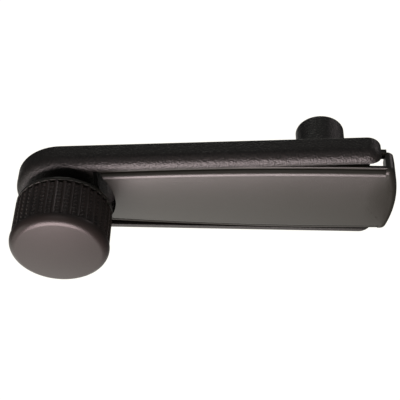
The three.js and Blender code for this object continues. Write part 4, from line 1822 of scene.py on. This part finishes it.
@dataclass
class Studio:
    """Camera, lamps, surroundings and the pale floor.

    Lengths are in metres, those of the lens and its sensor in millimetres, and angles in degrees.
    """

    azimuth: float = 3.236
    elevation: float = 49.109
    roll: float = -2.64
    distance: float = 0.371263
    target: Place = (-0.042892, -0.015, -0.019188)
    lens: float = 92.052
    sensor_width: float = 36.0
    clip_start: float = 0.01
    lamps: tuple[SoftBox, ...] = (
        SoftBox("front_box", (-0.185, -0.72, -0.04), (0.62, 0.44), 7.5, (1.0, 0.84, 0.85)),
        SoftBox("left_box", (-0.75, -0.35, -0.1), (0.3, 0.5), 0.5, (1.0, 0.97, 0.9)),
        SoftBox("right_box", (0.6, 0.55, 0.15), (0.3, 0.3), 0.35, (1.0, 0.88, 0.88)),
        SoftBox("top_box", (-0.1, -0.2, 0.75), (0.5, 0.4), 0.2, (1.0, 0.9, 0.88)),
        SoftBox("back_box", (-0.1, 0.8, 0.05), (0.5, 0.4), 0.9, (1.0, 0.98, 0.9)),
    )
    middle: Place = (-0.043, -0.02, 0.0)
    sky_light: float = 0.19
    sky_mirrored: float = 0.07
    sky_seen: float = 1.0
    floor_size: float = 6.0
    floor_level: float = -0.35
    floor_grey: float = 0.15
    floor_roughness: float = 0.9
    floor_glow: float = 1.02
    floor_tint: Colour = (1.0, 0.985, 0.93, 1.0)
    pool_glow: Span = (0.95, 0.0)
    pool_radii: Span = (0.1, 0.5)
    pool_middle: Place = (-0.25, -0.1, 0.0)
    pool_stretch: Place = (1.0, 0.5, 1.0)

    def build(self) -> None:
        """Set up the camera, the lamps, the world and the floor."""
        self.place_camera()
        for lamp in self.lamps:
            lamp.hang(self.middle)
        self.paint_world()
        self.lay_floor()
        bpy.context.scene.view_settings.view_transform = "Standard"

    def place_camera(self) -> None:
        """Put the camera where the photograph was taken from."""
        az, el, ro = (math.radians(v) for v in (self.azimuth, self.elevation, self.roll))
        back = Vector((math.sin(az) * math.cos(el), -math.cos(az) * math.cos(el), math.sin(el)))
        right = Vector((math.cos(az), math.sin(az), 0))
        up = back.cross(right)
        turned_right = right * math.cos(ro) + up * math.sin(ro)
        turned_up = up * math.cos(ro) - right * math.sin(ro)
        frame = Matrix((turned_right, turned_up, back)).transposed().to_4x4()
        frame.translation = Vector(self.target) + back * self.distance
        data = bpy.data.cameras.new("camera")
        data.lens = self.lens
        data.sensor_width = self.sensor_width
        data.clip_start = self.clip_start
        camera = bpy.data.objects.new("camera", data)
        bpy.context.scene.collection.objects.link(camera)
        camera.matrix_world = frame
        bpy.context.scene.camera = camera

    def paint_world(self) -> None:
        """Fill the surroundings: white to the eye, dark in reflections and dim as a light."""
        world = bpy.data.worlds.new("surroundings")
        bpy.context.scene.world = world
        world.use_nodes = True
        tree = world.node_tree
        path = tree.nodes.new("ShaderNodeLightPath").outputs
        rays = {0: path["Is Glossy Ray"], 1: path["Is Transmission Ray"]}
        mirrored = add_node(tree, "Math", rays, operation="ADD").outputs["Value"]
        unseen = add_node(tree, "Mix", {"Factor": mirrored, 2: self.sky_light, 3: self.sky_mirrored})
        strength = add_node(
            tree, "Mix", {"Factor": path["Is Camera Ray"], 2: unseen.outputs[0], 3: self.sky_seen},
        )
        feed(tree, tree.nodes["Background"], {"Color": (1, 1, 1, 1), "Strength": strength.outputs[0]})

    def lay_floor(self) -> None:
        """Lay the floor well below the handle: pale to the eye, and mirrored as a pool of light."""
        deselect()
        bpy.ops.mesh.primitive_plane_add(size=self.floor_size, location=(0, 0, self.floor_level))
        floor = bpy.context.object
        floor.name = "floor"
        material = bpy.data.materials.new("pale_floor")
        material.use_nodes = True
        tree = material.node_tree
        path = tree.nodes.new("ShaderNodeLightPath").outputs
        rays = {0: path["Is Glossy Ray"], 1: path["Is Transmission Ray"]}
        mirrored = add_node(tree, "Math", rays, operation="MAXIMUM").outputs["Value"]
        place = tree.nodes.new("ShaderNodeTexCoord").outputs["Object"]
        stretched = add_node(tree, "VectorMath", {0: place, 1: self.pool_stretch}, operation="MULTIPLY")
        reach = add_node(
            tree, "VectorMath", {0: stretched.outputs["Vector"], 1: self.pool_middle}, operation="DISTANCE",
        )
        pool = add_node(tree, "MapRange", {
            "Value": reach.outputs["Value"],
            "From Min": self.pool_radii[0], "From Max": self.pool_radii[1],
            "To Min": self.pool_glow[0], "To Max": self.pool_glow[1],
        }, interpolation_type="SMOOTHSTEP")
        pooled = add_node(tree, "Math", {0: mirrored, 1: pool.outputs["Result"]}, operation="MULTIPLY")
        glow = add_node(
            tree, "Math",
            {0: path["Is Camera Ray"], 1: self.floor_glow, 2: pooled.outputs["Value"]},
            operation="MULTIPLY_ADD",
        )
        feed(tree, tree.nodes["Principled BSDF"], {
            "Base Color": (self.floor_grey, self.floor_grey, self.floor_grey, 1),
            "Roughness": self.floor_roughness,
            "Emission Color": self.floor_tint,
            "Emission Strength": glow.outputs["Value"],
        })
        floor.data.materials.append(material)


def main() -> None:
    """Build every sub-assembly in order, then the studio."""
    logging.basicConfig(level=logging.INFO, format="%(name)s: %(message)s")
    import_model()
    finishes = Finishes()
    finishes.build()
    layout = Layout()
    CrankArm(layout, finishes).build()
    ScrewSet(layout, finishes).build()
    KnobPin(layout, finishes).build()
    Knob(layout, finishes, Body.KNOB).build()
    ArmCover(layout, finishes).build()
    Studio().build()


if __name__ == "__main__":
    main()
